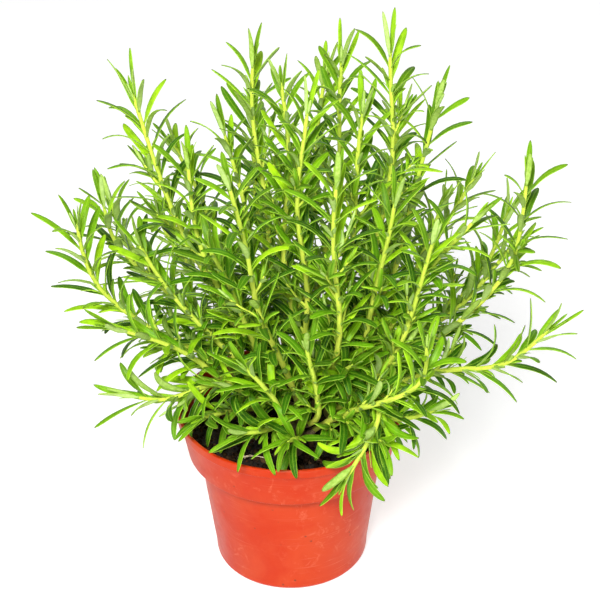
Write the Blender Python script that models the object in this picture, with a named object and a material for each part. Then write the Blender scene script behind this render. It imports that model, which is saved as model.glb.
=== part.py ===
"""A potted rosemary: a young bushy herb in a round plastic nursery pot.

The pot is a turned moulding with a deep collar and a rolled lip. It holds a plug
of potting soil. Five rooted cuttings stand in the soil, each with a woody base
and a few roots, and the green shoots branch from those bases. A rosemary leaf has
no stalk, so each shoot is one solid: its stem with the leaves that grow from it.

Origin: the middle of the pot's base, on the surface it stands on. +Z is up.
"""
import math
import random

import bpy
import numpy as np

# ---------------------------------------------------------------- dimensions
# All design lengths are in millimetres from the centre of the pot's base, +Z up.
MM = 0.001
SEED = 20               # one fixed arrangement of the plant
POT_H = 98.0            # height of the pot
POT_LIP_R = 63.4        # outer radius of the lip
POT_FOOT_R = 44.0       # outer radius of the base
POT_SHOULDER_Z = 69.0   # underside of the collar
POT_WALL = 1.3          # wall thickness
SOIL_Z = 83.0           # level of the soil surface
GAP = 0.4               # gap between neighbouring solids

STEM_R_BASE = 1.60      # radius of a green shoot at its foot
STEM_R_TIP = 0.95       # and close under its apex
LEAF_W = 4.4            # full width of a grown leaf
LEAF_T = 1.0            # thickness of a grown leaf
NODE_STEP = 8.0         # distance between successive leaf pairs

CROWN_R = 4.2           # radius of a woody base at the soil
CROWN_TOP = 27.0        # height of a woody base above the soil
CROWN_LEVELS = (9.0, 18.5)   # heights above the soil where the branches leave

# The woody bases stand in a loose ring with one in the middle: x, y at the soil.
CROWNS = {
    "left": (-21, 6),
    "back": (-2, 29),
    "right": (30, 19),
    "side": (31, -12),
    "front": (4, -23),
    "mid": (5, 3),
}

# One row for each shoot: the woody base it branches from, the points its stem
# passes through up to its apex, and the length of its grown leaves.
SHOOTS = [
    # left side
    ("left", [(-45, 15, 175), (-66, 17, 222), (-77, 20, 275)], 30),
    ("left", [(-45, 4, 195), (-52, 5, 244)], 25),
    ("left", [(-42, 4, 130), (-68, 0, 142), (-102, -6, 176), (-107, -10, 217)], 29),
    ("left", [(-68, 28, 156), (-96, 33, 184), (-102, 35, 207)], 26),
    ("left", [(-55, 0, 158), (-77, -5, 202)], 25),
    ("left", [(-55, -15, 142), (-92, -30, 168)], 26),
    ("left", [(-42, -14, 124), (-64, -28, 119), (-82, -33, 126)], 30),
    ("left", [(-60, 45, 140), (-95, 75, 160), (-105, 85, 185)], 25),
    # middle
    ("front", [(-6, -30, 155), (-18, -37, 192), (-26, -50, 258)], 27),
    ("mid", [(-1, 4, 180), (0, 5, 230), (-1, 5, 288)], 26),
    ("mid", [(9, -14, 175), (6, -19, 240), (9, -20, 283)], 25),
    ("mid", [(38, 6, 150), (52, 10, 220), (54, 10, 302)], 28),
    ("mid", [(-25, -10, 165), (-42, -25, 212)], 24),
    ("side", [(45, -22, 175), (52, -35, 240)], 25),
    # back
    ("back", [(-18, 28, 165), (-32, 30, 252)], 25),
    ("back", [(-8, 30, 160), (-16, 33, 239), (-17, 35, 287)], 27),
    ("back", [(18, 30, 160), (28, 30, 240), (29, 30, 290)], 27),
    ("back", [(-35, 55, 160), (-65, 80, 222)], 25),
    ("back", [(-14, 65, 165), (-22, 98, 238)], 25),
    ("back", [(12, 62, 175), (22, 85, 262)], 26),
    ("back", [(-8, 70, 132), (-15, 112, 150), (-18, 126, 180)], 25),
    ("back", [(-42, 72, 130), (-72, 108, 140), (-82, 118, 160)], 24),
    # right side
    ("right", [(50, 15, 155), (68, 18, 215), (76, 20, 270)], 26),
    ("side", [(62, 2, 126), (94, 4, 146), (118, 5, 182), (126, 5, 233)], 26),
    ("right", [(61, 34, 142), (88, 49, 198)], 24),
    ("right", [(77, 21, 129), (106, 34, 160), (120, 40, 196)], 25),
    ("right", [(48, 55, 165), (62, 85, 235)], 25),
    ("right", [(75, 60, 145), (105, 82, 198)], 24),
    ("right", [(48, 70, 128), (62, 108, 142), (68, 120, 170)], 24),
    ("side", [(56, -12, 160), (95, -20, 224)], 25),
    # front
    ("front", [(25, -34, 145), (24, -49, 208), (24, -55, 260)], 27),
    ("front", [(17, -39, 116), (13, -46, 136), (9, -55, 170)], 27),
    ("side", [(40, -34, 124), (50, -46, 127), (44, -58, 118), (31, -73, 102)], 27),
    ("side", [(52, -26, 142), (67, -34, 182), (72, -40, 222)], 25),
    ("side", [(54, -14, 118), (86, -18, 132), (116, -22, 136), (137, -25, 160)], 26),
    ("side", [(48, -28, 110), (60, -40, 112), (76, -46, 123)], 25),
    ("front", [(-4, -34, 118), (-22, -44, 150)], 25),
    ("front", [(-10, -20, 111), (-31, -24, 126)], 24),
    ("front", [(34, -46, 124), (66, -62, 150), (68, -68, 178)], 24),
    # between the others
    ("right", [(66, 14, 132), (98, 18, 152), (121, 21, 184)], 26),
    ("mid", [(26, -4, 165), (36, -4, 225), (38, -4, 276)], 26),
    # short ones low over the soil
    ("front", [(-8, -38, 107), (-25, -50, 114)], 26),
    ("front", [(4, -42, 105), (-2, -57, 112)], 27),
    ("mid", [(-14, -14, 122), (-24, -30, 142)], 27),
    ("mid", [(22, -22, 128), (34, -44, 152)], 28),
    ("mid", [(-20, 8, 130), (-34, 2, 158)], 26),
    ("side", [(40, -40, 106), (48, -56, 113)], 26),
    ("left", [(-34, -18, 106), (-46, -32, 112)], 26),
]


# ------------------------------------------------------------ vector helpers
def vec(*c):
    return np.array(c, dtype=float)


def unit(v):
    n = math.sqrt(float(v[0] * v[0] + v[1] * v[1] + v[2] * v[2]))
    return v / n if n > 1e-9 else vec(0, 0, 1)


def cross(a, b):
    return np.array((a[1] * b[2] - a[2] * b[1], a[2] * b[0] - a[0] * b[2],
                     a[0] * b[1] - a[1] * b[0]))


def rotate(v, axis, ang):
    c, s = math.cos(ang), math.sin(ang)
    return v * c + cross(axis, v) * s + axis * (float(np.dot(axis, v)) * (1 - c))


def smooth01(t):
    t = min(1.0, max(0.0, t))
    return t * t * (3 - 2 * t)


def curve_through(points, first_dir, step=3.0):
    """A smooth curve through the points, leaving the first along first_dir,
    as points about one step apart."""
    p = [np.array(q, float) for q in points]
    lead = p[0] - unit(first_dir) * float(np.linalg.norm(p[1] - p[0])) * 0.6
    tail = p[-1] + (p[-1] - p[-2]) * 0.5
    q = [lead] + p + [tail]
    dense = []
    for i in range(1, len(q) - 2):
        a, b, c, d = q[i - 1], q[i], q[i + 1], q[i + 2]
        for k in range(20):
            t = k / 20.0
            dense.append(0.5 * ((2 * b) + (c - a) * t + (2 * a - 5 * b + 4 * c - d) * t * t
                                + (3 * b - a - 3 * c + d) * t ** 3))
    dense.append(p[-1])
    return resample(np.array(dense), step)


def resample(pts, step):
    seg = np.linalg.norm(np.diff(pts, axis=0), axis=1)
    s = np.concatenate(([0.0], np.cumsum(seg)))
    n = max(4, int(round(s[-1] / step)))
    at = np.linspace(0.0, s[-1], n + 1)
    return np.stack([np.interp(at, s, pts[:, k]) for k in range(3)], axis=1)


class Line:
    """A stem's centre line with a frame that turns as little as it can."""

    def __init__(self, pts, start_side, start_dir=None, twist=0.0):
        self.p = pts
        seg = np.linalg.norm(np.diff(pts, axis=0), axis=1)
        self.s = np.concatenate(([0.0], np.cumsum(seg)))
        self.length = float(self.s[-1])
        tan = np.gradient(pts, axis=0)
        self.t = np.array([unit(v) for v in tan])
        if start_dir is not None:
            self.t[0] = unit(start_dir)
        side = start_side - self.t[0] * float(np.dot(start_side, self.t[0]))
        side = unit(side)
        sides = [side]
        for i in range(1, len(pts)):
            side = side - self.t[i] * float(np.dot(side, self.t[i]))
            side = unit(side)
            sides.append(side)
        self.n = np.array([rotate(sides[i], self.t[i], twist * self.s[i]) for i in range(len(pts))])

    def at(self, s):
        s = min(max(s, 0.0), self.length)
        i = int(np.searchsorted(self.s, s) - 1)
        i = min(max(i, 0), len(self.s) - 2)
        f = (s - self.s[i]) / max(1e-9, self.s[i + 1] - self.s[i])
        p = self.p[i] * (1 - f) + self.p[i + 1] * f
        t = unit(self.t[i] * (1 - f) + self.t[i + 1] * f)
        n = self.n[i] * (1 - f) + self.n[i + 1] * f
        n = unit(n - t * float(np.dot(n, t)))
        return p, t, n, cross(t, n)


class Space:
    """Remembers the balls that stems and leaves fill, to keep others out."""

    CELL = 6.0

    def __init__(self):
        self.cells = {}

    def key(self, p):
        return (int(math.floor(p[0] / self.CELL)), int(math.floor(p[1] / self.CELL)),
                int(math.floor(p[2] / self.CELL)))

    def add(self, p, r, owner):
        self.cells.setdefault(self.key(p), []).append((p[0], p[1], p[2], r, owner))

    def hits(self, p, r, owner, scale=1.0, margin=0.0):
        kx, ky, kz = self.key(p)
        for i in (kx - 1, kx, kx + 1):
            for j in (ky - 1, ky, ky + 1):
                for k in (kz - 1, kz, kz + 1):
                    for (x, y, z, q, o) in self.cells.get((i, j, k), ()):
                        if o == owner:
                            continue
                        d = (x - p[0]) ** 2 + (y - p[1]) ** 2 + (z - p[2]) ** 2
                        lim = (r + q) * scale + margin
                        if d < lim * lim:
                            return True
        return False


def in_pot_or_soil(p, r):
    """True where a ball of radius r at p would touch the pot or the soil."""
    rad = math.hypot(p[0], p[1])
    if rad < 64.6 + r and rad > 58.2 - r and p[2] < POT_H + r + 0.6:
        return True
    if rad <= 60.6 and p[2] < SOIL_Z + 2.2 + r:
        return True
    if rad >= 60.6 and p[2] < 6.0:
        return True
    # the open place at the front left where the pot is watered
    if -46 < p[0] < -12 and -58 < p[1] < -34 and p[2] < 99.5 + r:
        return True
    return False


# ------------------------------------------------------------ the plant's plan
def crown_axis(name, h):
    """The woody base's axis, h above the soil: it leans out a little."""
    x, y = CROWNS[name]
    lean = 0.10 * max(0.0, h)
    rad = math.hypot(x, y) or 1.0
    return vec(x + x / rad * lean, y + y / rad * lean, SOIL_Z + h)


def crown_slots(name):
    """Where branches leave a woody base: foot, direction and frame side."""
    slots = []
    for level, h in enumerate(CROWN_LEVELS):
        for k in range(4):
            ang = math.radians(45.0 * level + 90.0 * k)
            out = vec(math.cos(ang), math.sin(ang), 0)
            d = unit(out * 0.80 + vec(0, 0, 0.62))
            foot = crown_axis(name, h) + out * 8.6 + vec(0, 0, 4.6)
            slots.append((level, k, foot, d))
    slots.append((2, 0, crown_axis(name, CROWN_TOP), vec(0, 0, 1)))
    return slots


def plan_stems(rng):
    """Give each shoot a branch slot and a centre line that keeps its distance."""
    chosen = []
    for name in CROWNS:
        rows = [i for i, row in enumerate(SHOOTS) if row[0] == name]
        slots = crown_slots(name)
        # each branch slot goes to the shoot that heads its way; the steepest
        # shoot of a base is its leader and takes the top
        def slope(i):
            way = np.array(SHOOTS[i][1][0], float) - crown_axis(name, 14.0)
            return way[2] / (math.hypot(way[0], way[1]) + 1e-6)
        rows.sort(key=slope)
        leader, rows = rows[-1], rows[:-1]
        chosen.append((leader, name, slots[-1]))

        def fit(i, f):
            level, k, foot, d = slots[f]
            way = unit(np.array(SHOOTS[i][1][0], float) - foot)
            flat = unit(vec(way[0], way[1], 0)) if math.hypot(way[0], way[1]) > 0.1 else way
            return float(np.dot(way, d)) + 0.8 * float(np.dot(flat, unit(vec(d[0], d[1], 0))))
        seat = list(range(8))
        best = True
        while best:
            best = False
            for a in range(len(rows)):
                for b in range(8):
                    if b == a:
                        continue
                    now = fit(rows[a], seat[a]) + (fit(rows[b], seat[b]) if b < len(rows) else 0.0)
                    new = fit(rows[a], seat[b]) + (fit(rows[b], seat[a]) if b < len(rows) else 0.0)
                    if new > now + 1e-6:
                        seat[a], seat[b] = seat[b], seat[a]
                        best = True
        for a, i in enumerate(rows):
            chosen.append((i, name, slots[seat[a]]))
    chosen.sort()
    lines = []
    for i, name, (level, k, foot, d) in chosen:
        start = foot + d * GAP
        pts = curve_through([start, start + d * 3.0, start + d * 6.0] + list(SHOOTS[i][1]), d, 3.0)
        # a living stem is never dead straight
        length = 3.0 * len(pts)
        ph1, ph2 = rng.uniform(0, 6.28), rng.uniform(0, 6.28)
        for m in range(len(pts)):
            s = 3.0 * m
            amp = 1.6 * smooth01((s - 6.0) / 30.0)
            pts[m] += vec(math.sin(s / 17.0 + ph1), math.sin(s / 21.0 + ph2), 0.0) * amp
        lines.append([pts, d, i])
    # ease crowded stems apart; each foot stays where it branches
    own = np.concatenate([np.full(len(l[0]), n) for n, l in enumerate(lines)])
    first = np.concatenate([[0]] + [np.cumsum([len(l[0]) for l in lines])])
    p = np.concatenate([l[0] for l in lines])
    home = p.copy()
    hold = np.concatenate([np.clip((np.arange(len(l[0])) - 1.5) / 4.0, 0.0, 1.0) for l in lines])
    clear = 5.6
    pair_a = pair_b = None
    for turn in range(70):
        if turn % 10 == 0:
            found = []
            for a in range(0, len(p), 300):
                b = min(len(p), a + 300)
                d2 = ((p[a:b, None, :] - p[None, :, :]) ** 2).sum(-1)
                ia, ib = np.nonzero((d2 < (clear + 7.0) ** 2) & (own[a:b, None] != own[None, :]))
                found.append(np.stack([ia + a, ib], axis=1))
            found = np.concatenate(found)
            pair_a, pair_b = found[:, 0], found[:, 1]
        d = p[pair_a] - p[pair_b]
        dist = np.sqrt((d ** 2).sum(-1)) + 1e-9
        w = np.where(dist < clear, (clear - dist) / dist * 0.5, 0.0)
        push = np.zeros_like(p)
        np.add.at(push, pair_a, d * w[:, None])
        mag = np.sqrt((push ** 2).sum(-1))[:, None]
        push = push / np.maximum(1.0, mag / 1.2)
        p += push * hold[:, None]
        # so do the woody bases, with their branch stubs
        for name in CROWNS:
            c = crown_axis(name, 14.0)
            dx, dy = p[:, 0] - c[0], p[:, 1] - c[1]
            dd = np.hypot(dx, dy) + 1e-6
            near = (dd < 8.5) & (p[:, 2] < SOIL_Z + CROWN_TOP + 3.0)
            p[near, 0] += (dx / dd * (8.5 - dd) * 0.3 * hold)[near]
            p[near, 1] += (dy / dd * (8.5 - dd) * 0.3 * hold)[near]
        # soil and rim push the stems up and clear
        rad = np.hypot(p[:, 0], p[:, 1])
        low = (rad < 68.5) & (rad > 54.5) & (p[:, 2] < POT_H + 4.5)
        p[low, 2] += (POT_H + 4.5 - p[low, 2]) * 0.3 * hold[low]
        for n in range(len(lines)):
            a, b = first[n], first[n + 1]
            q = p[a:b]
            lap = np.zeros_like(q)
            lap[1:-1] = (q[:-2] + q[2:]) * 0.5 - q[1:-1]
            p[a:b] += lap * 0.30 * hold[a:b, None]
            p[a:b] += (home[a:b] - q) * 0.01 * hold[a:b, None]
    out = []
    for n, (pts, d, i) in enumerate(lines):
        q = resample(p[first[n]:first[n + 1]], 3.0)
        side = cross(d, vec(0, 0, 1)) if abs(d[2]) < 0.9 else vec(1, 0, 0)
        out.append(dict(name="shoot_%02d" % (i + 1), crown=SHOOTS[i][0], row=i,
                        leaf_len=float(SHOOTS[i][2]),
                        line=Line(q, side, d, rng.uniform(-0.006, 0.006))))
    return out


def stem_radius(sh, s):
    f = s / sh["line"].length
    return STEM_R_BASE + (STEM_R_TIP - STEM_R_BASE) * smooth01(f)


def leaf_nodes(sh):
    """Arc positions of the leaf pairs, counted down from the apex."""
    length = sh["line"].length
    at, s, n = [], length - 2.0, 0
    bare = min(11.0, 0.14 * length)
    while s > bare:
        at.append((n, s))
        step = NODE_STEP * (0.80 if sh["line"].p[-1][2] < 130.0 else 1.0) * (0.78 + 0.22 * smooth01(n / 4.0)) * (1.0 + 0.12 * math.sin(2.3 * n + sh["row"]))
        s -= step
        n += 1
    return at


def leaf_curve(base, t, r, a0, a1, length, bend, droop, steps=8):
    """Centre line and frames of one leaf that leaves the stem at angle a0 and
    arches out to a1. Each row: point, direction, width side, upper side."""
    rows = []
    p = base.copy()
    w0 = cross(t, r)
    ds = length / steps
    for k in range(steps + 1):
        f = k / steps
        a = a0 + (a1 - a0) * smooth01(f * 0.80 + 0.06)
        b = bend * f * f
        rr = rotate(r, t, b)
        d = unit(t * math.cos(a) + rr * math.sin(a) + vec(0, 0, -droop * f))
        w = unit(cross(t, rr))
        w = unit(w - d * float(np.dot(w, d)))
        up = cross(d, w)
        rows.append((p.copy(), d, w, up))
        p = p + d * ds
    return rows


def leaf_profile(f):
    """Half width along the leaf, from 0 at the stem to 1 at the tip."""
    foot = 0.36 + 0.64 * smooth01(f / 0.30)
    tip = max(0.0, 1.0 - ((f - 0.45) / 0.55) ** 3.4) ** 0.62 if f > 0.45 else 1.0
    return foot * tip


def try_leaf(space, sh, rng, s, phi, frac, kind, strict, n=9, line=None):
    """Find a free place for a leaf at arc position s, turned to phi round the
    stem. Returns the leaf, or None where there is no room."""
    own_line = line is None
    line = sh["line"] if own_line else line
    p, t, side, b = line.at(s)
    length0 = sh["leaf_len"]
    top = 1.0 - frac               # 1 at the apex, 0 at the foot
    # 1 in the lowest part of a shoot, and all along one that stays low
    low = max(smooth01((0.42 - top) / 0.30), smooth01((132.0 - line.p[-1][2]) / 14.0))
    if kind == "axil":
        length0 *= rng.uniform(0.24, 0.50) * (1.0 + 0.30 * low)
        a0, a1 = math.radians(rng.uniform(16, 34)), math.radians(rng.uniform(35, 80))
        width = LEAF_W * rng.uniform(0.42, 0.62)
    elif kind == "sprig":
        length0 *= rng.uniform(0.42, 0.68)
        a0, a1 = math.radians(rng.uniform(20, 40)), math.radians(rng.uniform(50, 95))
        width = LEAF_W * rng.uniform(0.62, 0.85)
    elif kind == "bud":
        length0 *= rng.uniform(0.28, 0.58)
        a0, a1 = math.radians(rng.uniform(2, 9)), math.radians(rng.uniform(4, 22))
        width = LEAF_W * rng.uniform(0.34, 0.48)
    else:
        open0 = (7, 22, 30, 34)[min(n, 3)]
        open1 = (20, 54, 70, 84)[min(n, 3)]
        length0 *= rng.uniform(0.84, 1.10) * (0.86, 1.0, 1.04, 1.08)[min(n, 3)] * (1.0 + 0.10 * (1.0 - top))
        a0 = math.radians(open0 + rng.uniform(-7, 8) * (0.6 if n == 0 else 1.0))
        a1 = math.radians(open1 + rng.uniform(-18, 20) * (0.6 if n == 0 else 1.0) + 24.0 * low)
        if n > 2 and rng.random() < 0.18:
            a1 -= math.radians(38)
        width = LEAF_W * rng.uniform(0.80, 1.08) * (0.74, 0.90, 1.0, 1.0)[min(n, 3)]
    droop = rng.uniform(0.0, 0.30) * (1.0 - 0.7 * top) + 0.80 * low * rng.random()
    bend0 = rng.uniform(-0.60, 0.60)
    curl = rng.uniform(-0.5, 0.5)
    shade = rng.uniform(0.0, 1.0)
    light = rng.uniform(0.0, 1.0)
    tries = ((0, 1.0, 0), (14, 1.0, -8), (-14, 1.0, -8), (0, 0.92, 16), (26, 0.92, 0), (-26, 0.92, 0),
             (0, 0.84, -20), (18, 0.84, 22), (-18, 0.84, 22), (0, 0.72, -26), (30, 0.72, -14),
             (-30, 0.72, -14), (0, 0.6, 10), (22, 0.6, -25), (-22, 0.6, -25))
    scale, margin = (1.0, 0.45) if strict else (0.52, 0.05)
    for turn, short, tilt in tries:
        ang = phi + math.radians(turn)
        r = unit(side * math.cos(ang) + b * math.sin(ang))
        length = length0 * short
        aa0 = max(math.radians(4), a0 + math.radians(tilt * 0.5))
        aa1 = max(aa0 + math.radians(3), a1 + math.radians(tilt))
        base = p + r * (stem_radius(sh, s) * 0.72 if own_line else 0.35)
        rows = leaf_curve(base, t, r, aa0, aa1, length, bend0, droop)
        balls = []
        if strict:
            # the leaf as two straight runs, as its solid is made
            q0, q1, q2 = rows[0][0], rows[4][0], rows[8][0]
            for k in range(1, 13):
                f = k / 12.0
                c = q0 + (q1 - q0) * (f * 2) if f < 0.5 else q1 + (q2 - q1) * (f * 2 - 1)
                rad = width * 0.5 * (0.6 + 0.8 * f if f < 0.5 else 1.0 - (f - 0.5) * 1.7)
                balls.append((c, max(0.35, rad), f))
        else:
            for k in range(1, 9):
                balls.append((rows[k][0], width * 0.5 * leaf_profile(k / 8.0) + 0.2, k / 8.0))
        bad = False
        for c, rad, f in balls:
            if in_pot_or_soil(c, rad * (1.0 if strict else 0.6)):
                bad = True
                break
            own = sh["name"] if f * length < 5.0 else None
            if own is None and not strict and f * length < 8.0:
                continue
            if space.hits(c, rad, own if own else "", scale, margin):
                bad = True
                break
        if bad:
            continue
        tag = sh["name"]
        for c, rad, f in balls:
            space.add(c, rad, tag if f * length < 5.0 else tag + "l")
        return dict(rows=rows, length=length, width=width, s=s, kind=kind, shade=shade,
                    curl=curl, frac=frac, top=top, turn=light)
    return None


def plan_plant(seed):
    """Place every stem, then its leaves."""
    rng = random.Random(seed)
    shoots = plan_stems(rng)
    space = Space()
    for name in CROWNS:
        for h in range(0, int(CROWN_TOP) + 1, 3):
            space.add(crown_axis(name, float(h)), CROWN_R, "crown")
        for (level, k, foot, d) in crown_slots(name):
            space.add(foot - d * 2.0, 2.4, "crown")
            space.add(foot - d * 5.0, 2.8, "crown")
    for sh in shoots:
        line = sh["line"]
        for k in range(int(line.length / 2.0) + 1):
            p = line.at(k * 2.0)[0]
            space.add(p, stem_radius(sh, k * 2.0) + 0.5, sh["name"])
    for sh in shoots:
        sh["nodes"] = leaf_nodes(sh)
        sh["leaves"] = []
        sh["phase"] = rng.uniform(0, math.pi / 2)
    # the shared leaves: each third pair, and all four round the apex
    for sh in shoots:
        length = sh["line"].length
        for n, s in sh["nodes"]:
            if n and n % 3 != 1:
                continue
            sides = (0, 2) if n % 2 else (1, 3)
            for side in sides:
                jit = rng.uniform(-0.16, 0.16)
                leaf = try_leaf(space, sh, rng, s, side * math.pi / 2 + jit,
                                1.0 - s / length, "main", True, n)
                if leaf:
                    leaf["node"], leaf["side"] = n, side
                    leaf["shared"] = True
                    sh["leaves"].append(leaf)
    return shoots


# ------------------------------------------------------------- solid building
SEGMENTS = 48           # facets round the pot
DRAIN_HOLES = 8         # holes through the base
DRAIN_R = 4.0
DRAIN_AT = 30.0

POT_OUTER = [           # radius, height: up the outside
    (40.4, 0.0), (42.6, 1.0), (43.8, 3.6), (47.6, 35.0), (51.3, 65.2), (51.9, 68.0),
    (55.2, 70.8), (58.4, 72.6), (61.8, 92.2), (62.9, 92.8), (63.4, 94.0), (63.4, 97.0),
    (62.7, 98.0),
]
POT_INNER = [           # and down the inside
    (61.7, 98.0), (60.7, 97.0), (60.4, 92.6), (57.1, 73.8), (54.3, 72.0), (50.8, 69.2),
    (49.9, 65.3), (46.3, 35.0), (42.4, 4.4), (41.0, 2.2),
]


def soil_height(x, y):
    """The soil's surface: nearly level, a little lower at the front left."""
    return (SOIL_Z + 0.9 * math.sin(x / 13.0 + 0.8) * math.cos(y / 15.0 - 0.4)
            + 0.012 * x + 0.010 * y)


def new_object(name, verts, faces, colour, rough, origin=(0, 0, 0), smooth=False, flip=False):
    """A mesh object from millimetre points, with its own material."""
    mesh = bpy.data.meshes.new(name)
    ox, oy, oz = origin
    pts = [((v[0] - ox) * MM, (v[1] - oy) * MM, (v[2] - oz) * MM) for v in verts]
    if flip:
        faces = [tuple(reversed(f)) for f in faces]
    mesh.from_pydata(pts, [], [tuple(int(i) for i in f) for f in faces])
    mesh.validate()
    mesh.update()
    obj = bpy.data.objects.new(name, mesh)
    obj.location = (ox * MM, oy * MM, oz * MM)
    bpy.context.scene.collection.objects.link(obj)
    mat = bpy.data.materials.new(name + "_material")
    mat.use_nodes = True
    bsdf = next(n for n in mat.node_tree.nodes if n.type == "BSDF_PRINCIPLED")
    bsdf.inputs["Base Color"].default_value = tuple(colour) + (1.0,)
    bsdf.inputs["Roughness"].default_value = rough
    bsdf.inputs["Metallic"].default_value = 0.0
    mat.diffuse_color = tuple(colour) + (1.0,)
    mesh.materials.append(mat)
    if smooth:
        mesh.shade_smooth()
        mesh.set_sharp_from_angle(angle=math.radians(35))
    return obj


def as_cutter(obj):
    obj.hide_render = True
    obj.display_type = "WIRE"
    return obj


def cut(obj, cutter):
    mod = obj.modifiers.new("cut", "BOOLEAN")
    mod.operation = "DIFFERENCE"
    mod.solver = "EXACT"
    mod.object = cutter
    return mod


def turned(rings, height=None):
    """A closed turned solid. rings: (radius, z) from the axis at the bottom, round
    the outside and back to the axis; radius 0 ends it with a point."""
    verts, faces, index = [], [], []
    for r, z in rings:
        if r == 0.0:
            index.append([len(verts)] * SEGMENTS)
            verts.append((0.0, 0.0, z))
        else:
            index.append(list(range(len(verts), len(verts) + SEGMENTS)))
            for k in range(SEGMENTS):
                a = 2 * math.pi * k / SEGMENTS
                x, y = r * math.cos(a), r * math.sin(a)
                verts.append((x, y, z if height is None else height(x, y, z)))
    for a, b in zip(index, index[1:]):
        for k in range(SEGMENTS):
            n = (k + 1) % SEGMENTS
            quad = [a[k], a[n], b[n], b[k]]
            face = [v for i, v in enumerate(quad) if v not in quad[:i]]
            if len(face) > 2:
                faces.append(tuple(face))
    return verts, faces


def cylinder(x, y, z0, z1, r, sides, turn=0.0):
    verts, faces = [], []
    for z in (z0, z1):
        for k in range(sides):
            a = 2 * math.pi * (k + 0.5) / sides + turn
            verts.append((x + r * math.cos(a), y + r * math.sin(a), z))
    for k in range(sides):
        n = (k + 1) % sides
        faces.append((k, n, sides + n, sides + k))
    faces.append(tuple(reversed(range(sides))))
    faces.append(tuple(range(sides, 2 * sides)))
    return verts, faces


def join(parts):
    verts, faces = [], []
    for v, f in parts:
        base = len(verts)
        verts += list(v)
        faces += [tuple(i + base for i in q) for q in f]
    return verts, faces


def make_pot():
    rings = [(0.0, 0.0)] + POT_OUTER + POT_INNER + [(0.0, 2.0)]
    verts, faces = turned(rings)
    pot = new_object("pot", verts, faces, (0.85, 0.10, 0.03), 0.38, smooth=True)
    holes = []
    for k in range(DRAIN_HOLES):
        a = 2 * math.pi * k / DRAIN_HOLES
        holes.append(cylinder(DRAIN_AT * math.cos(a), DRAIN_AT * math.sin(a), -4, 8, DRAIN_R, 12, a))
    v, f = join(holes)
    cutter = as_cutter(new_object("drain_cutter", v, f, (0.5, 0.5, 0.5), 0.5))
    cut(pot, cutter)
    return pot


def crown_mesh(name, grow=0.0):
    """One woody base with its branch stubs and roots. grow swells it for the
    socket that it leaves in the soil."""
    rng = random.Random("crown" + name)
    hs = [(-40.0, 1.1), (-26.0, 2.6), (-15.0 - 1.6 * grow, 3.5), (-8.0 + 1.6 * grow, 3.9), (0.0, CROWN_R)]
    for h, r in zip(CROWN_LEVELS, (3.9, 3.5)):
        hs += [(h - 2.3, r), (h + 2.3, r * 0.96)]
    hs.append((CROWN_TOP, 2.3))
    verts, faces = [], []
    for j, (h, r) in enumerate(hs):
        c = crown_axis(name, h)
        if h < 0:
            c = c + vec(0.02 * h * math.sin(h / 9.0 + len(name)), 0.03 * h * math.cos(h / 11.0), 0)
        for k in range(8):
            a = math.radians(45.0 * (k - 0.5))
            rr = (r + grow) * (1.0 + 0.05 * math.sin(k * 2.3 + j))
            verts.append((c[0] + rr * math.cos(a), c[1] + rr * math.sin(a),
                          c[2] - (grow if j == 0 else 0.0)))
    used = {}
    for level, k, foot, d in crown_slots(name):
        if level < 2:
            used[(5 + 2 * level, (level + 2 * k) % 8)] = (foot, d)
    roots = {}
    for k in range(4):
        a = math.radians(90.0 * k + 45.0)
        d = unit(vec(math.cos(a), math.sin(a), -rng.uniform(0.5, 1.1)))
        roots[(2, (2 * k + 1) % 8)] = (d, rng.uniform(9.0, 12.0))
    for j in range(len(hs) - 1):
        for k in range(8):
            n = (k + 1) % 8
            quad = [8 * j + k, 8 * j + n, 8 * (j + 1) + n, 8 * (j + 1) + k]
            a = math.radians(45.0 * k)
            w = vec(-math.sin(a), math.cos(a), 0)
            if (j, k) in used:
                foot, d = used[(j, k)]
                u = cross(d, w)
                h = 1.35 + grow
                base = len(verts)
                for sw, su in ((-1, -1), (1, -1), (1, 1), (-1, 1)):
                    verts.append(tuple(foot + w * (h * sw) + u * (h * su)))
                end = [base, base + 1, base + 2, base + 3]
                for i in range(4):
                    m = (i + 1) % 4
                    faces.append((quad[i], quad[m], end[m], end[i]))
                faces.append(tuple(end))
            elif (j, k) in roots:
                d, length = roots[(j, k)]
                u = cross(d, w)
                c = np.mean([verts[i] for i in quad], axis=0)
                last = quad
                for f, h in ((0.5, 1.5), (1.0, 0.7)):
                    base = len(verts)
                    q = c + d * (length * f + (grow if f == 1.0 else 0.0)) + vec(0, 0, -2.0 * f * f)
                    for sw, su in ((-1, -1), (1, -1), (1, 1), (-1, 1)):
                        verts.append(tuple(q + w * ((h + grow) * sw) + u * ((h + grow) * su)))
                    end = [base, base + 1, base + 2, base + 3]
                    for i in range(4):
                        m = (i + 1) % 4
                        faces.append((last[i], last[m], end[m], end[i]))
                    last = end
                faces.append(tuple(last))
            else:
                faces.append(tuple(quad))
    faces.append(tuple(reversed(range(8))))
    faces.append(tuple(range(8 * (len(hs) - 1), 8 * len(hs))))
    return verts, faces


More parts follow.
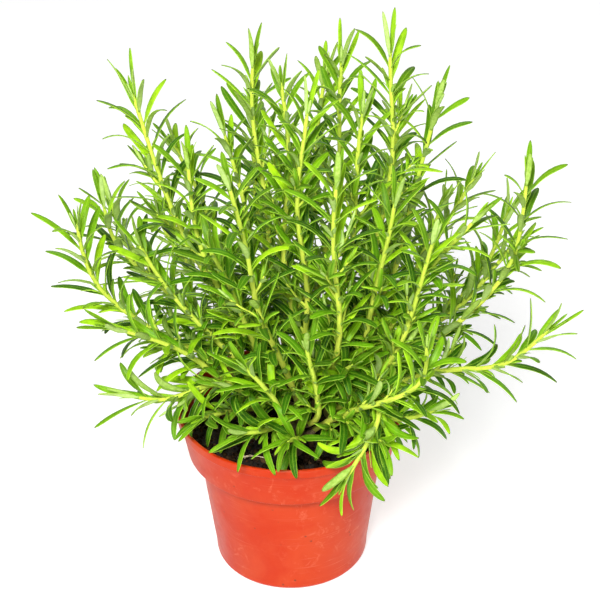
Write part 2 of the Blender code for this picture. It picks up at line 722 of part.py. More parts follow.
def make_soil():
    g = GAP
    wall = [(r - g, z) for r, z in reversed(POT_INNER) if 3.0 < z < SOIL_Z - 4.0]
    # where the surface meets the collar's inner side
    slope = (60.4 - 57.1) / (92.6 - 73.8)
    edge = 57.1 + (SOIL_Z - 73.8) * slope - g - 0.35
    rings = [(0.0, 2.0 + g + 0.1), (40.4 - g, 2.2 + g + 0.1)] + wall + [(edge, SOIL_Z + 100.0)]
    rings += [(r, SOIL_Z + 100.0) for r in (50.0, 39.0, 28.0, 14.0)] + [(0.0, SOIL_Z + 100.0)]

    def top(x, y, z):
        return soil_height(x, y) if z > 150.0 else z
    verts, faces = turned(rings, top)
    verts[-1] = (0.0, 0.0, soil_height(0.0, 0.0))
    soil = new_object("potting_soil", verts, faces, (0.020, 0.012, 0.008), 0.95)
    v, f = join([crown_mesh(name, GAP) for name in CROWNS])
    cutter = as_cutter(new_object("socket_cutter", v, f, (0.5, 0.5, 0.5), 0.5))
    cut(soil, cutter).use_self = True      # roots of neighbours may share a socket
    return soil


def shoot_mesh(sh):
    """A green stem, four sided, with a leaf drawn out of its faces at each pair."""
    line = sh["line"]
    length = line.length
    by_node = {}
    for leaf in sh["leaves"]:
        by_node.setdefault(leaf["node"], []).append(leaf)
    stations = [(0.0, None)]
    for n, s in reversed(sh["nodes"]):
        if n and n % 3 != 1:
            continue
        stations += [(s - 1.25, None), (s + 1.25, n)]
    verts, faces = [], []
    for s, _ in stations:
        p, t, nrm, b = line.at(s)
        r = stem_radius(sh, s)
        for k in range(4):
            a = math.pi / 2 * (k - 0.5)
            verts.append(tuple(p + (nrm * math.cos(a) + b * math.sin(a)) * r))
    for j in range(len(stations) - 1):
        node = stations[j + 1][1]
        for k in range(4):
            n = (k + 1) % 4
            quad = [4 * j + k, 4 * j + n, 4 * (j + 1) + n, 4 * (j + 1) + k]
            leaf = None
            if node is not None:
                leaf = next((l for l in by_node.get(node, ()) if l["side"] == k), None)
            if leaf is None:
                faces.append(tuple(quad))
                continue
            mid, _, w, up = leaf["rows"][4]
            tip = leaf["rows"][8][0]
            hw, ht = leaf["width"] * 0.5, LEAF_T * 0.5
            base = len(verts)
            # the width side runs with the quad from its first to its second corner
            for sw, su in ((-1, -1), (1, -1), (1, 1), (-1, 1)):
                verts.append(tuple(mid + w * (hw * sw) + up * (ht * su)))
            verts.append(tuple(tip))
            ring = [base, base + 1, base + 2, base + 3]
            for i in range(4):
                m = (i + 1) % 4
                faces.append((quad[i], quad[m], ring[m], ring[i]))
                faces.append((ring[i], ring[m], base + 4))
    faces.append((3, 2, 1, 0))
    last = 4 * (len(stations) - 1)
    p, t, nrm, b = line.at(length)
    verts.append(tuple(p + t * 1.6))
    for k in range(4):
        faces.append((last + k, last + (k + 1) % 4, len(verts) - 1))
    return verts, faces


def make_twig():
    """A dry bit of root lying on the soil at the front left."""
    pts = []
    for k in range(8):
        f = k / 7.0
        x = -28.5 + 16.0 * f
        y = -31.5 + 1.6 * math.sin(3.0 * f) - 1.5 * f
        pts.append(vec(x, y, soil_height(x, y) + 1.25 + 0.5 * math.sin(math.pi * f)))
    line = Line(np.array(pts), vec(0, 0, 1))
    verts, faces = [], []
    for j in range(len(pts)):
        f = j / 7.0
        r = 0.62 * (1.0 - 0.35 * f) * (0.75 if j in (0, 7) else 1.0)
        for k in range(6):
            a = 2 * math.pi * k / 6
            verts.append(tuple(pts[j] + (line.n[j] * math.cos(a)
                                         + cross(line.t[j], line.n[j]) * math.sin(a)) * r))
    for j in range(len(pts) - 1):
        for k in range(6):
            n = (k + 1) % 6
            faces.append((6 * j + k, 6 * j + n, 6 * (j + 1) + n, 6 * (j + 1) + k))
    faces.append(tuple(reversed(range(6))))
    faces.append(tuple(range(6 * (len(pts) - 1), 6 * len(pts))))
    return new_object("dry_twig", verts, faces, (0.42, 0.30, 0.17), 0.85, smooth=True)


def build():
    for obj in list(bpy.data.objects):
        bpy.data.objects.remove(obj, do_unlink=True)
    make_pot()
    make_soil()
    for name in CROWNS:
        v, f = crown_mesh(name)
        x, y = CROWNS[name]
        new_object("crown_" + name, v, f, (0.16, 0.10, 0.05), 0.85, origin=(x, y, SOIL_Z))
    for sh in plan_plant(SEED):
        v, f = shoot_mesh(sh)
        new_object(sh["name"], v, f, (0.16, 0.36, 0.04), 0.55, origin=tuple(sh["line"].p[0]))
    make_twig()


build()
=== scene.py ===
"""Looks for the potted rosemary: the fine leaves, stems, bark, soil and pot that
stand for the plain CAD solids, their materials, and the camera and lights."""
import math
import random

import bpy
import numpy as np
from mathutils import Matrix, Vector, noise


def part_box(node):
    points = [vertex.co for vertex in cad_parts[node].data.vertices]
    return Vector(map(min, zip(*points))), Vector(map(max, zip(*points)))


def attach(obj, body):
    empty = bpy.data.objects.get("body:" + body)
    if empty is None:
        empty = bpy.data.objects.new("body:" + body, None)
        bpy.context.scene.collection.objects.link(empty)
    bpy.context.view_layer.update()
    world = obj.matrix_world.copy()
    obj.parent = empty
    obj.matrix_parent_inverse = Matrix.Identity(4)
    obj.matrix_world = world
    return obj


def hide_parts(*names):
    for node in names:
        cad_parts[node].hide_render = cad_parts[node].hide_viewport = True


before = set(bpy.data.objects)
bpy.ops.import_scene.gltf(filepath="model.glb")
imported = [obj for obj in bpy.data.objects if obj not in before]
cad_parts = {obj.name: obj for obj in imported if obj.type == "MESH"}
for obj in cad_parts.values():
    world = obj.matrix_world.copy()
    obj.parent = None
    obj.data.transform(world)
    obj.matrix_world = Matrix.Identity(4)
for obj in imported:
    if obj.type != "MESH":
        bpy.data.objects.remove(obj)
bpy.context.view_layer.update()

# ---------------------------------------------------------------- dimensions
# All design lengths are in millimetres from the centre of the pot's base, +Z up.
MM = 0.001
SEED = 20               # one fixed arrangement of the plant
POT_H = 98.0            # height of the pot
POT_LIP_R = 63.4        # outer radius of the lip
POT_FOOT_R = 44.0       # outer radius of the base
POT_SHOULDER_Z = 69.0   # underside of the collar
POT_WALL = 1.3          # wall thickness
SOIL_Z = 83.0           # level of the soil surface
GAP = 0.4               # gap between neighbouring solids

STEM_R_BASE = 1.60      # radius of a green shoot at its foot
STEM_R_TIP = 0.95       # and close under its apex
LEAF_W = 4.4            # full width of a grown leaf
LEAF_T = 1.0            # thickness of a grown leaf
NODE_STEP = 8.0         # distance between successive leaf pairs

CROWN_R = 4.2           # radius of a woody base at the soil
CROWN_TOP = 27.0        # height of a woody base above the soil
CROWN_LEVELS = (9.0, 18.5)   # heights above the soil where the branches leave

# The woody bases stand in a loose ring with one in the middle: x, y at the soil.
CROWNS = {
    "left": (-21, 6),
    "back": (-2, 29),
    "right": (30, 19),
    "side": (31, -12),
    "front": (4, -23),
    "mid": (5, 3),
}

# One row for each shoot: the woody base it branches from, the points its stem
# passes through up to its apex, and the length of its grown leaves.
SHOOTS = [
    # left side
    ("left", [(-45, 15, 175), (-66, 17, 222), (-77, 20, 275)], 30),
    ("left", [(-45, 4, 195), (-52, 5, 244)], 25),
    ("left", [(-42, 4, 130), (-68, 0, 142), (-102, -6, 176), (-107, -10, 217)], 29),
    ("left", [(-68, 28, 156), (-96, 33, 184), (-102, 35, 207)], 26),
    ("left", [(-55, 0, 158), (-77, -5, 202)], 25),
    ("left", [(-55, -15, 142), (-92, -30, 168)], 26),
    ("left", [(-42, -14, 124), (-64, -28, 119), (-82, -33, 126)], 30),
    ("left", [(-60, 45, 140), (-95, 75, 160), (-105, 85, 185)], 25),
    # middle
    ("front", [(-6, -30, 155), (-18, -37, 192), (-26, -50, 258)], 27),
    ("mid", [(-1, 4, 180), (0, 5, 230), (-1, 5, 288)], 26),
    ("mid", [(9, -14, 175), (6, -19, 240), (9, -20, 283)], 25),
    ("mid", [(38, 6, 150), (52, 10, 220), (54, 10, 302)], 28),
    ("mid", [(-25, -10, 165), (-42, -25, 212)], 24),
    ("side", [(45, -22, 175), (52, -35, 240)], 25),
    # back
    ("back", [(-18, 28, 165), (-32, 30, 252)], 25),
    ("back", [(-8, 30, 160), (-16, 33, 239), (-17, 35, 287)], 27),
    ("back", [(18, 30, 160), (28, 30, 240), (29, 30, 290)], 27),
    ("back", [(-35, 55, 160), (-65, 80, 222)], 25),
    ("back", [(-14, 65, 165), (-22, 98, 238)], 25),
    ("back", [(12, 62, 175), (22, 85, 262)], 26),
    ("back", [(-8, 70, 132), (-15, 112, 150), (-18, 126, 180)], 25),
    ("back", [(-42, 72, 130), (-72, 108, 140), (-82, 118, 160)], 24),
    # right side
    ("right", [(50, 15, 155), (68, 18, 215), (76, 20, 270)], 26),
    ("side", [(62, 2, 126), (94, 4, 146), (118, 5, 182), (126, 5, 233)], 26),
    ("right", [(61, 34, 142), (88, 49, 198)], 24),
    ("right", [(77, 21, 129), (106, 34, 160), (120, 40, 196)], 25),
    ("right", [(48, 55, 165), (62, 85, 235)], 25),
    ("right", [(75, 60, 145), (105, 82, 198)], 24),
    ("right", [(48, 70, 128), (62, 108, 142), (68, 120, 170)], 24),
    ("side", [(56, -12, 160), (95, -20, 224)], 25),
    # front
    ("front", [(25, -34, 145), (24, -49, 208), (24, -55, 260)], 27),
    ("front", [(17, -39, 116), (13, -46, 136), (9, -55, 170)], 27),
    ("side", [(40, -34, 124), (50, -46, 127), (44, -58, 118), (31, -73, 102)], 27),
    ("side", [(52, -26, 142), (67, -34, 182), (72, -40, 222)], 25),
    ("side", [(54, -14, 118), (86, -18, 132), (116, -22, 136), (137, -25, 160)], 26),
    ("side", [(48, -28, 110), (60, -40, 112), (76, -46, 123)], 25),
    ("front", [(-4, -34, 118), (-22, -44, 150)], 25),
    ("front", [(-10, -20, 111), (-31, -24, 126)], 24),
    ("front", [(34, -46, 124), (66, -62, 150), (68, -68, 178)], 24),
    # between the others
    ("right", [(66, 14, 132), (98, 18, 152), (121, 21, 184)], 26),
    ("mid", [(26, -4, 165), (36, -4, 225), (38, -4, 276)], 26),
    # short ones low over the soil
    ("front", [(-8, -38, 107), (-25, -50, 114)], 26),
    ("front", [(4, -42, 105), (-2, -57, 112)], 27),
    ("mid", [(-14, -14, 122), (-24, -30, 142)], 27),
    ("mid", [(22, -22, 128), (34, -44, 152)], 28),
    ("mid", [(-20, 8, 130), (-34, 2, 158)], 26),
    ("side", [(40, -40, 106), (48, -56, 113)], 26),
    ("left", [(-34, -18, 106), (-46, -32, 112)], 26),
]


# ------------------------------------------------------------ vector helpers
def vec(*c):
    return np.array(c, dtype=float)


def unit(v):
    n = math.sqrt(float(v[0] * v[0] + v[1] * v[1] + v[2] * v[2]))
    return v / n if n > 1e-9 else vec(0, 0, 1)


def cross(a, b):
    return np.array((a[1] * b[2] - a[2] * b[1], a[2] * b[0] - a[0] * b[2],
                     a[0] * b[1] - a[1] * b[0]))


def rotate(v, axis, ang):
    c, s = math.cos(ang), math.sin(ang)
    return v * c + cross(axis, v) * s + axis * (float(np.dot(axis, v)) * (1 - c))


def smooth01(t):
    t = min(1.0, max(0.0, t))
    return t * t * (3 - 2 * t)


def curve_through(points, first_dir, step=3.0):
    """A smooth curve through the points, leaving the first along first_dir,
    as points about one step apart."""
    p = [np.array(q, float) for q in points]
    lead = p[0] - unit(first_dir) * float(np.linalg.norm(p[1] - p[0])) * 0.6
    tail = p[-1] + (p[-1] - p[-2]) * 0.5
    q = [lead] + p + [tail]
    dense = []
    for i in range(1, len(q) - 2):
        a, b, c, d = q[i - 1], q[i], q[i + 1], q[i + 2]
        for k in range(20):
            t = k / 20.0
            dense.append(0.5 * ((2 * b) + (c - a) * t + (2 * a - 5 * b + 4 * c - d) * t * t
                                + (3 * b - a - 3 * c + d) * t ** 3))
    dense.append(p[-1])
    return resample(np.array(dense), step)


def resample(pts, step):
    seg = np.linalg.norm(np.diff(pts, axis=0), axis=1)
    s = np.concatenate(([0.0], np.cumsum(seg)))
    n = max(4, int(round(s[-1] / step)))
    at = np.linspace(0.0, s[-1], n + 1)
    return np.stack([np.interp(at, s, pts[:, k]) for k in range(3)], axis=1)


class Line:
    """A stem's centre line with a frame that turns as little as it can."""

    def __init__(self, pts, start_side, start_dir=None, twist=0.0):
        self.p = pts
        seg = np.linalg.norm(np.diff(pts, axis=0), axis=1)
        self.s = np.concatenate(([0.0], np.cumsum(seg)))
        self.length = float(self.s[-1])
        tan = np.gradient(pts, axis=0)
        self.t = np.array([unit(v) for v in tan])
        if start_dir is not None:
            self.t[0] = unit(start_dir)
        side = start_side - self.t[0] * float(np.dot(start_side, self.t[0]))
        side = unit(side)
        sides = [side]
        for i in range(1, len(pts)):
            side = side - self.t[i] * float(np.dot(side, self.t[i]))
            side = unit(side)
            sides.append(side)
        self.n = np.array([rotate(sides[i], self.t[i], twist * self.s[i]) for i in range(len(pts))])

    def at(self, s):
        s = min(max(s, 0.0), self.length)
        i = int(np.searchsorted(self.s, s) - 1)
        i = min(max(i, 0), len(self.s) - 2)
        f = (s - self.s[i]) / max(1e-9, self.s[i + 1] - self.s[i])
        p = self.p[i] * (1 - f) + self.p[i + 1] * f
        t = unit(self.t[i] * (1 - f) + self.t[i + 1] * f)
        n = self.n[i] * (1 - f) + self.n[i + 1] * f
        n = unit(n - t * float(np.dot(n, t)))
        return p, t, n, cross(t, n)


class Space:
    """Remembers the balls that stems and leaves fill, to keep others out."""

    CELL = 6.0

    def __init__(self):
        self.cells = {}

    def key(self, p):
        return (int(math.floor(p[0] / self.CELL)), int(math.floor(p[1] / self.CELL)),
                int(math.floor(p[2] / self.CELL)))

    def add(self, p, r, owner):
        self.cells.setdefault(self.key(p), []).append((p[0], p[1], p[2], r, owner))

    def hits(self, p, r, owner, scale=1.0, margin=0.0):
        kx, ky, kz = self.key(p)
        for i in (kx - 1, kx, kx + 1):
            for j in (ky - 1, ky, ky + 1):
                for k in (kz - 1, kz, kz + 1):
                    for (x, y, z, q, o) in self.cells.get((i, j, k), ()):
                        if o == owner:
                            continue
                        d = (x - p[0]) ** 2 + (y - p[1]) ** 2 + (z - p[2]) ** 2
                        lim = (r + q) * scale + margin
                        if d < lim * lim:
                            return True
        return False


def in_pot_or_soil(p, r):
    """True where a ball of radius r at p would touch the pot or the soil."""
    rad = math.hypot(p[0], p[1])
    if rad < 64.6 + r and rad > 58.2 - r and p[2] < POT_H + r + 0.6:
        return True
    if rad <= 60.6 and p[2] < SOIL_Z + 2.2 + r:
        return True
    if rad >= 60.6 and p[2] < 6.0:
        return True
    # the open place at the front left where the pot is watered
    if -46 < p[0] < -12 and -58 < p[1] < -34 and p[2] < 99.5 + r:
        return True
    return False


# ------------------------------------------------------------ the plant's plan
def crown_axis(name, h):
    """The woody base's axis, h above the soil: it leans out a little."""
    x, y = CROWNS[name]
    lean = 0.10 * max(0.0, h)
    rad = math.hypot(x, y) or 1.0
    return vec(x + x / rad * lean, y + y / rad * lean, SOIL_Z + h)


def crown_slots(name):
    """Where branches leave a woody base: foot, direction and frame side."""
    slots = []
    for level, h in enumerate(CROWN_LEVELS):
        for k in range(4):
            ang = math.radians(45.0 * level + 90.0 * k)
            out = vec(math.cos(ang), math.sin(ang), 0)
            d = unit(out * 0.80 + vec(0, 0, 0.62))
            foot = crown_axis(name, h) + out * 8.6 + vec(0, 0, 4.6)
            slots.append((level, k, foot, d))
    slots.append((2, 0, crown_axis(name, CROWN_TOP), vec(0, 0, 1)))
    return slots


def plan_stems(rng):
    """Give each shoot a branch slot and a centre line that keeps its distance."""
    chosen = []
    for name in CROWNS:
        rows = [i for i, row in enumerate(SHOOTS) if row[0] == name]
        slots = crown_slots(name)
        # each branch slot goes to the shoot that heads its way; the steepest
        # shoot of a base is its leader and takes the top
        def slope(i):
            way = np.array(SHOOTS[i][1][0], float) - crown_axis(name, 14.0)
            return way[2] / (math.hypot(way[0], way[1]) + 1e-6)
        rows.sort(key=slope)
        leader, rows = rows[-1], rows[:-1]
        chosen.append((leader, name, slots[-1]))

        def fit(i, f):
            level, k, foot, d = slots[f]
            way = unit(np.array(SHOOTS[i][1][0], float) - foot)
            flat = unit(vec(way[0], way[1], 0)) if math.hypot(way[0], way[1]) > 0.1 else way
            return float(np.dot(way, d)) + 0.8 * float(np.dot(flat, unit(vec(d[0], d[1], 0))))
        seat = list(range(8))
        best = True
        while best:
            best = False
            for a in range(len(rows)):
                for b in range(8):
                    if b == a:
                        continue
                    now = fit(rows[a], seat[a]) + (fit(rows[b], seat[b]) if b < len(rows) else 0.0)
                    new = fit(rows[a], seat[b]) + (fit(rows[b], seat[a]) if b < len(rows) else 0.0)
                    if new > now + 1e-6:
                        seat[a], seat[b] = seat[b], seat[a]
                        best = True
        for a, i in enumerate(rows):
            chosen.append((i, name, slots[seat[a]]))
    chosen.sort()
    lines = []
    for i, name, (level, k, foot, d) in chosen:
        start = foot + d * GAP
        pts = curve_through([start, start + d * 3.0, start + d * 6.0] + list(SHOOTS[i][1]), d, 3.0)
        # a living stem is never dead straight
        length = 3.0 * len(pts)
        ph1, ph2 = rng.uniform(0, 6.28), rng.uniform(0, 6.28)
        for m in range(len(pts)):
            s = 3.0 * m
            amp = 1.6 * smooth01((s - 6.0) / 30.0)
            pts[m] += vec(math.sin(s / 17.0 + ph1), math.sin(s / 21.0 + ph2), 0.0) * amp
        lines.append([pts, d, i])
    # ease crowded stems apart; each foot stays where it branches
    own = np.concatenate([np.full(len(l[0]), n) for n, l in enumerate(lines)])
    first = np.concatenate([[0]] + [np.cumsum([len(l[0]) for l in lines])])
    p = np.concatenate([l[0] for l in lines])
    home = p.copy()
    hold = np.concatenate([np.clip((np.arange(len(l[0])) - 1.5) / 4.0, 0.0, 1.0) for l in lines])
    clear = 5.6
    pair_a = pair_b = None
    for turn in range(70):
        if turn % 10 == 0:
            found = []
            for a in range(0, len(p), 300):
                b = min(len(p), a + 300)
                d2 = ((p[a:b, None, :] - p[None, :, :]) ** 2).sum(-1)
                ia, ib = np.nonzero((d2 < (clear + 7.0) ** 2) & (own[a:b, None] != own[None, :]))
                found.append(np.stack([ia + a, ib], axis=1))
            found = np.concatenate(found)
            pair_a, pair_b = found[:, 0], found[:, 1]
        d = p[pair_a] - p[pair_b]
        dist = np.sqrt((d ** 2).sum(-1)) + 1e-9
        w = np.where(dist < clear, (clear - dist) / dist * 0.5, 0.0)
        push = np.zeros_like(p)
        np.add.at(push, pair_a, d * w[:, None])
        mag = np.sqrt((push ** 2).sum(-1))[:, None]
        push = push / np.maximum(1.0, mag / 1.2)
        p += push * hold[:, None]
        # so do the woody bases, with their branch stubs
        for name in CROWNS:
            c = crown_axis(name, 14.0)
            dx, dy = p[:, 0] - c[0], p[:, 1] - c[1]
            dd = np.hypot(dx, dy) + 1e-6
            near = (dd < 8.5) & (p[:, 2] < SOIL_Z + CROWN_TOP + 3.0)
            p[near, 0] += (dx / dd * (8.5 - dd) * 0.3 * hold)[near]
            p[near, 1] += (dy / dd * (8.5 - dd) * 0.3 * hold)[near]
        # soil and rim push the stems up and clear
        rad = np.hypot(p[:, 0], p[:, 1])
        low = (rad < 68.5) & (rad > 54.5) & (p[:, 2] < POT_H + 4.5)
        p[low, 2] += (POT_H + 4.5 - p[low, 2]) * 0.3 * hold[low]
        for n in range(len(lines)):
            a, b = first[n], first[n + 1]
            q = p[a:b]
            lap = np.zeros_like(q)
            lap[1:-1] = (q[:-2] + q[2:]) * 0.5 - q[1:-1]
            p[a:b] += lap * 0.30 * hold[a:b, None]
            p[a:b] += (home[a:b] - q) * 0.01 * hold[a:b, None]
    out = []
    for n, (pts, d, i) in enumerate(lines):
        q = resample(p[first[n]:first[n + 1]], 3.0)
        side = cross(d, vec(0, 0, 1)) if abs(d[2]) < 0.9 else vec(1, 0, 0)
        out.append(dict(name="shoot_%02d" % (i + 1), crown=SHOOTS[i][0], row=i,
                        leaf_len=float(SHOOTS[i][2]),
                        line=Line(q, side, d, rng.uniform(-0.006, 0.006))))
    return out


def stem_radius(sh, s):
    f = s / sh["line"].length
    return STEM_R_BASE + (STEM_R_TIP - STEM_R_BASE) * smooth01(f)


def leaf_nodes(sh):
    """Arc positions of the leaf pairs, counted down from the apex."""
    length = sh["line"].length
    at, s, n = [], length - 2.0, 0
    bare = min(11.0, 0.14 * length)
    while s > bare:
        at.append((n, s))
        step = NODE_STEP * (0.80 if sh["line"].p[-1][2] < 130.0 else 1.0) * (0.78 + 0.22 * smooth01(n / 4.0)) * (1.0 + 0.12 * math.sin(2.3 * n + sh["row"]))
        s -= step
        n += 1
    return at


def leaf_curve(base, t, r, a0, a1, length, bend, droop, steps=8):
    """Centre line and frames of one leaf that leaves the stem at angle a0 and
    arches out to a1. Each row: point, direction, width side, upper side."""
    rows = []
    p = base.copy()
    w0 = cross(t, r)
    ds = length / steps
    for k in range(steps + 1):
        f = k / steps
        a = a0 + (a1 - a0) * smooth01(f * 0.80 + 0.06)
        b = bend * f * f
        rr = rotate(r, t, b)
        d = unit(t * math.cos(a) + rr * math.sin(a) + vec(0, 0, -droop * f))
        w = unit(cross(t, rr))
        w = unit(w - d * float(np.dot(w, d)))
        up = cross(d, w)
        rows.append((p.copy(), d, w, up))
        p = p + d * ds
    return rows


def leaf_profile(f):
    """Half width along the leaf, from 0 at the stem to 1 at the tip."""
    foot = 0.36 + 0.64 * smooth01(f / 0.30)
    tip = max(0.0, 1.0 - ((f - 0.45) / 0.55) ** 3.4) ** 0.62 if f > 0.45 else 1.0
    return foot * tip


def try_leaf(space, sh, rng, s, phi, frac, kind, strict, n=9, line=None):
    """Find a free place for a leaf at arc position s, turned to phi round the
    stem. Returns the leaf, or None where there is no room."""
    own_line = line is None
    line = sh["line"] if own_line else line
    p, t, side, b = line.at(s)
    length0 = sh["leaf_len"]
    top = 1.0 - frac               # 1 at the apex, 0 at the foot
    # 1 in the lowest part of a shoot, and all along one that stays low
    low = max(smooth01((0.42 - top) / 0.30), smooth01((132.0 - line.p[-1][2]) / 14.0))
    if kind == "axil":
        length0 *= rng.uniform(0.24, 0.50) * (1.0 + 0.30 * low)
        a0, a1 = math.radians(rng.uniform(16, 34)), math.radians(rng.uniform(35, 80))
        width = LEAF_W * rng.uniform(0.42, 0.62)
    elif kind == "sprig":
        length0 *= rng.uniform(0.42, 0.68)
        a0, a1 = math.radians(rng.uniform(20, 40)), math.radians(rng.uniform(50, 95))
        width = LEAF_W * rng.uniform(0.62, 0.85)
    elif kind == "bud":
        length0 *= rng.uniform(0.28, 0.58)
        a0, a1 = math.radians(rng.uniform(2, 9)), math.radians(rng.uniform(4, 22))
        width = LEAF_W * rng.uniform(0.34, 0.48)
    else:
        open0 = (7, 22, 30, 34)[min(n, 3)]
        open1 = (20, 54, 70, 84)[min(n, 3)]
        length0 *= rng.uniform(0.84, 1.10) * (0.86, 1.0, 1.04, 1.08)[min(n, 3)] * (1.0 + 0.10 * (1.0 - top))
        a0 = math.radians(open0 + rng.uniform(-7, 8) * (0.6 if n == 0 else 1.0))
        a1 = math.radians(open1 + rng.uniform(-18, 20) * (0.6 if n == 0 else 1.0) + 24.0 * low)
        if n > 2 and rng.random() < 0.18:
            a1 -= math.radians(38)
        width = LEAF_W * rng.uniform(0.80, 1.08) * (0.74, 0.90, 1.0, 1.0)[min(n, 3)]
    droop = rng.uniform(0.0, 0.30) * (1.0 - 0.7 * top) + 0.80 * low * rng.random()
    bend0 = rng.uniform(-0.60, 0.60)
    curl = rng.uniform(-0.5, 0.5)
    shade = rng.uniform(0.0, 1.0)
    light = rng.uniform(0.0, 1.0)
    tries = ((0, 1.0, 0), (14, 1.0, -8), (-14, 1.0, -8), (0, 0.92, 16), (26, 0.92, 0), (-26, 0.92, 0),
             (0, 0.84, -20), (18, 0.84, 22), (-18, 0.84, 22), (0, 0.72, -26), (30, 0.72, -14),
             (-30, 0.72, -14), (0, 0.6, 10), (22, 0.6, -25), (-22, 0.6, -25))
    scale, margin = (1.0, 0.45) if strict else (0.52, 0.05)
    for turn, short, tilt in tries:
        ang = phi + math.radians(turn)
        r = unit(side * math.cos(ang) + b * math.sin(ang))
        length = length0 * short
        aa0 = max(math.radians(4), a0 + math.radians(tilt * 0.5))
        aa1 = max(aa0 + math.radians(3), a1 + math.radians(tilt))
        base = p + r * (stem_radius(sh, s) * 0.72 if own_line else 0.35)
        rows = leaf_curve(base, t, r, aa0, aa1, length, bend0, droop)
        balls = []
        if strict:
            # the leaf as two straight runs, as its solid is made
            q0, q1, q2 = rows[0][0], rows[4][0], rows[8][0]
            for k in range(1, 13):
                f = k / 12.0
                c = q0 + (q1 - q0) * (f * 2) if f < 0.5 else q1 + (q2 - q1) * (f * 2 - 1)
                rad = width * 0.5 * (0.6 + 0.8 * f if f < 0.5 else 1.0 - (f - 0.5) * 1.7)
                balls.append((c, max(0.35, rad), f))
        else:
            for k in range(1, 9):
                balls.append((rows[k][0], width * 0.5 * leaf_profile(k / 8.0) + 0.2, k / 8.0))
        bad = False
        for c, rad, f in balls:
            if in_pot_or_soil(c, rad * (1.0 if strict else 0.6)):
                bad = True
                break
            own = sh["name"] if f * length < 5.0 else None
            if own is None and not strict and f * length < 8.0:
                continue
            if space.hits(c, rad, own if own else "", scale, margin):
                bad = True
                break
        if bad:
            continue
        tag = sh["name"]
        for c, rad, f in balls:
            space.add(c, rad, tag if f * length < 5.0 else tag + "l")
        return dict(rows=rows, length=length, width=width, s=s, kind=kind, shade=shade,
                    curl=curl, frac=frac, top=top, turn=light)
    return None


def plan_plant(seed, full):
    """Place every stem, then the leaves that both models share, then, where full
    is true, the rest of the foliage."""
    rng = random.Random(seed)
    shoots = plan_stems(rng)
    space = Space()
    for name in CROWNS:
        for h in range(0, int(CROWN_TOP) + 1, 3):
            space.add(crown_axis(name, float(h)), CROWN_R, "crown")
        for (level, k, foot, d) in crown_slots(name):
            space.add(foot - d * 2.0, 2.4, "crown")
            space.add(foot - d * 5.0, 2.8, "crown")
    for sh in shoots:
        line = sh["line"]
        for k in range(int(line.length / 2.0) + 1):
            p = line.at(k * 2.0)[0]
            space.add(p, stem_radius(sh, k * 2.0) + 0.5, sh["name"])
    for sh in shoots:
        sh["nodes"] = leaf_nodes(sh)
        sh["leaves"] = []
        sh["phase"] = rng.uniform(0, math.pi / 2)
    # the shared leaves: each third pair, and all four round the apex
    for sh in shoots:
        length = sh["line"].length
        for n, s in sh["nodes"]:
            if n and n % 3 != 1:
                continue
            sides = (0, 2) if n % 2 else (1, 3)
            for side in sides:
                jit = rng.uniform(-0.16, 0.16)
                leaf = try_leaf(space, sh, rng, s, side * math.pi / 2 + jit,
                                1.0 - s / length, "main", True, n)
                if leaf:
                    leaf["node"], leaf["side"] = n, side
                    leaf["shared"] = True
                    sh["leaves"].append(leaf)
    if not full:
        return shoots
    for sh in shoots:
        length = sh["line"].length
        for n, s in sh["nodes"]:
            have = {l["side"] for l in sh["leaves"] if l["node"] == n}
            sides = (0, 2) if n % 2 else (1, 3)
            for side in sides:
                if side in have:
                    continue
                leaf = try_leaf(space, sh, rng, s + rng.uniform(-0.5, 0.5),
                                side * math.pi / 2 + rng.uniform(-0.2, 0.2), 1.0 - s / length, "main", False, n)
                if leaf:
                    leaf["node"], leaf["side"] = n, side
                    sh["leaves"].append(leaf)
    for sh in shoots:
        length = sh["line"].length
        for n, s in sh["nodes"]:
            sides = (0, 2) if n % 2 else (1, 3)
            if n == 0:
                for m in range(3):
                    leaf = try_leaf(space, sh, rng, length - 0.5 * m, m * 2.1 + 0.6, 0.0, "bud", False)
                    if leaf:
                        leaf["node"], leaf["side"] = -1, m
                        sh["leaves"].append(leaf)
                continue
            if n < 3:
                continue
            lower = smooth01((n - 3) / 6.0)
            for side in sides:
                if n > 4 and rng.random() < 0.20 + 0.35 * lower:
                    if add_sprig(space, sh, rng, s, side * math.pi / 2, n, lower):
                        continue
                for m in range(2):
                    if rng.random() > 0.45 + 0.45 * lower:
                        continue
                    leaf = try_leaf(space, sh, rng, s + 1.0 + 0.6 * m,
                                    side * math.pi / 2 + (m - 0.5) * 0.8 + rng.uniform(-0.15, 0.15),
                                    1.0 - s / length, "axil", False)
                    if leaf:
                        leaf["node"], leaf["side"] = n, 10 + m
                        sh["leaves"].append(leaf)
    return shoots


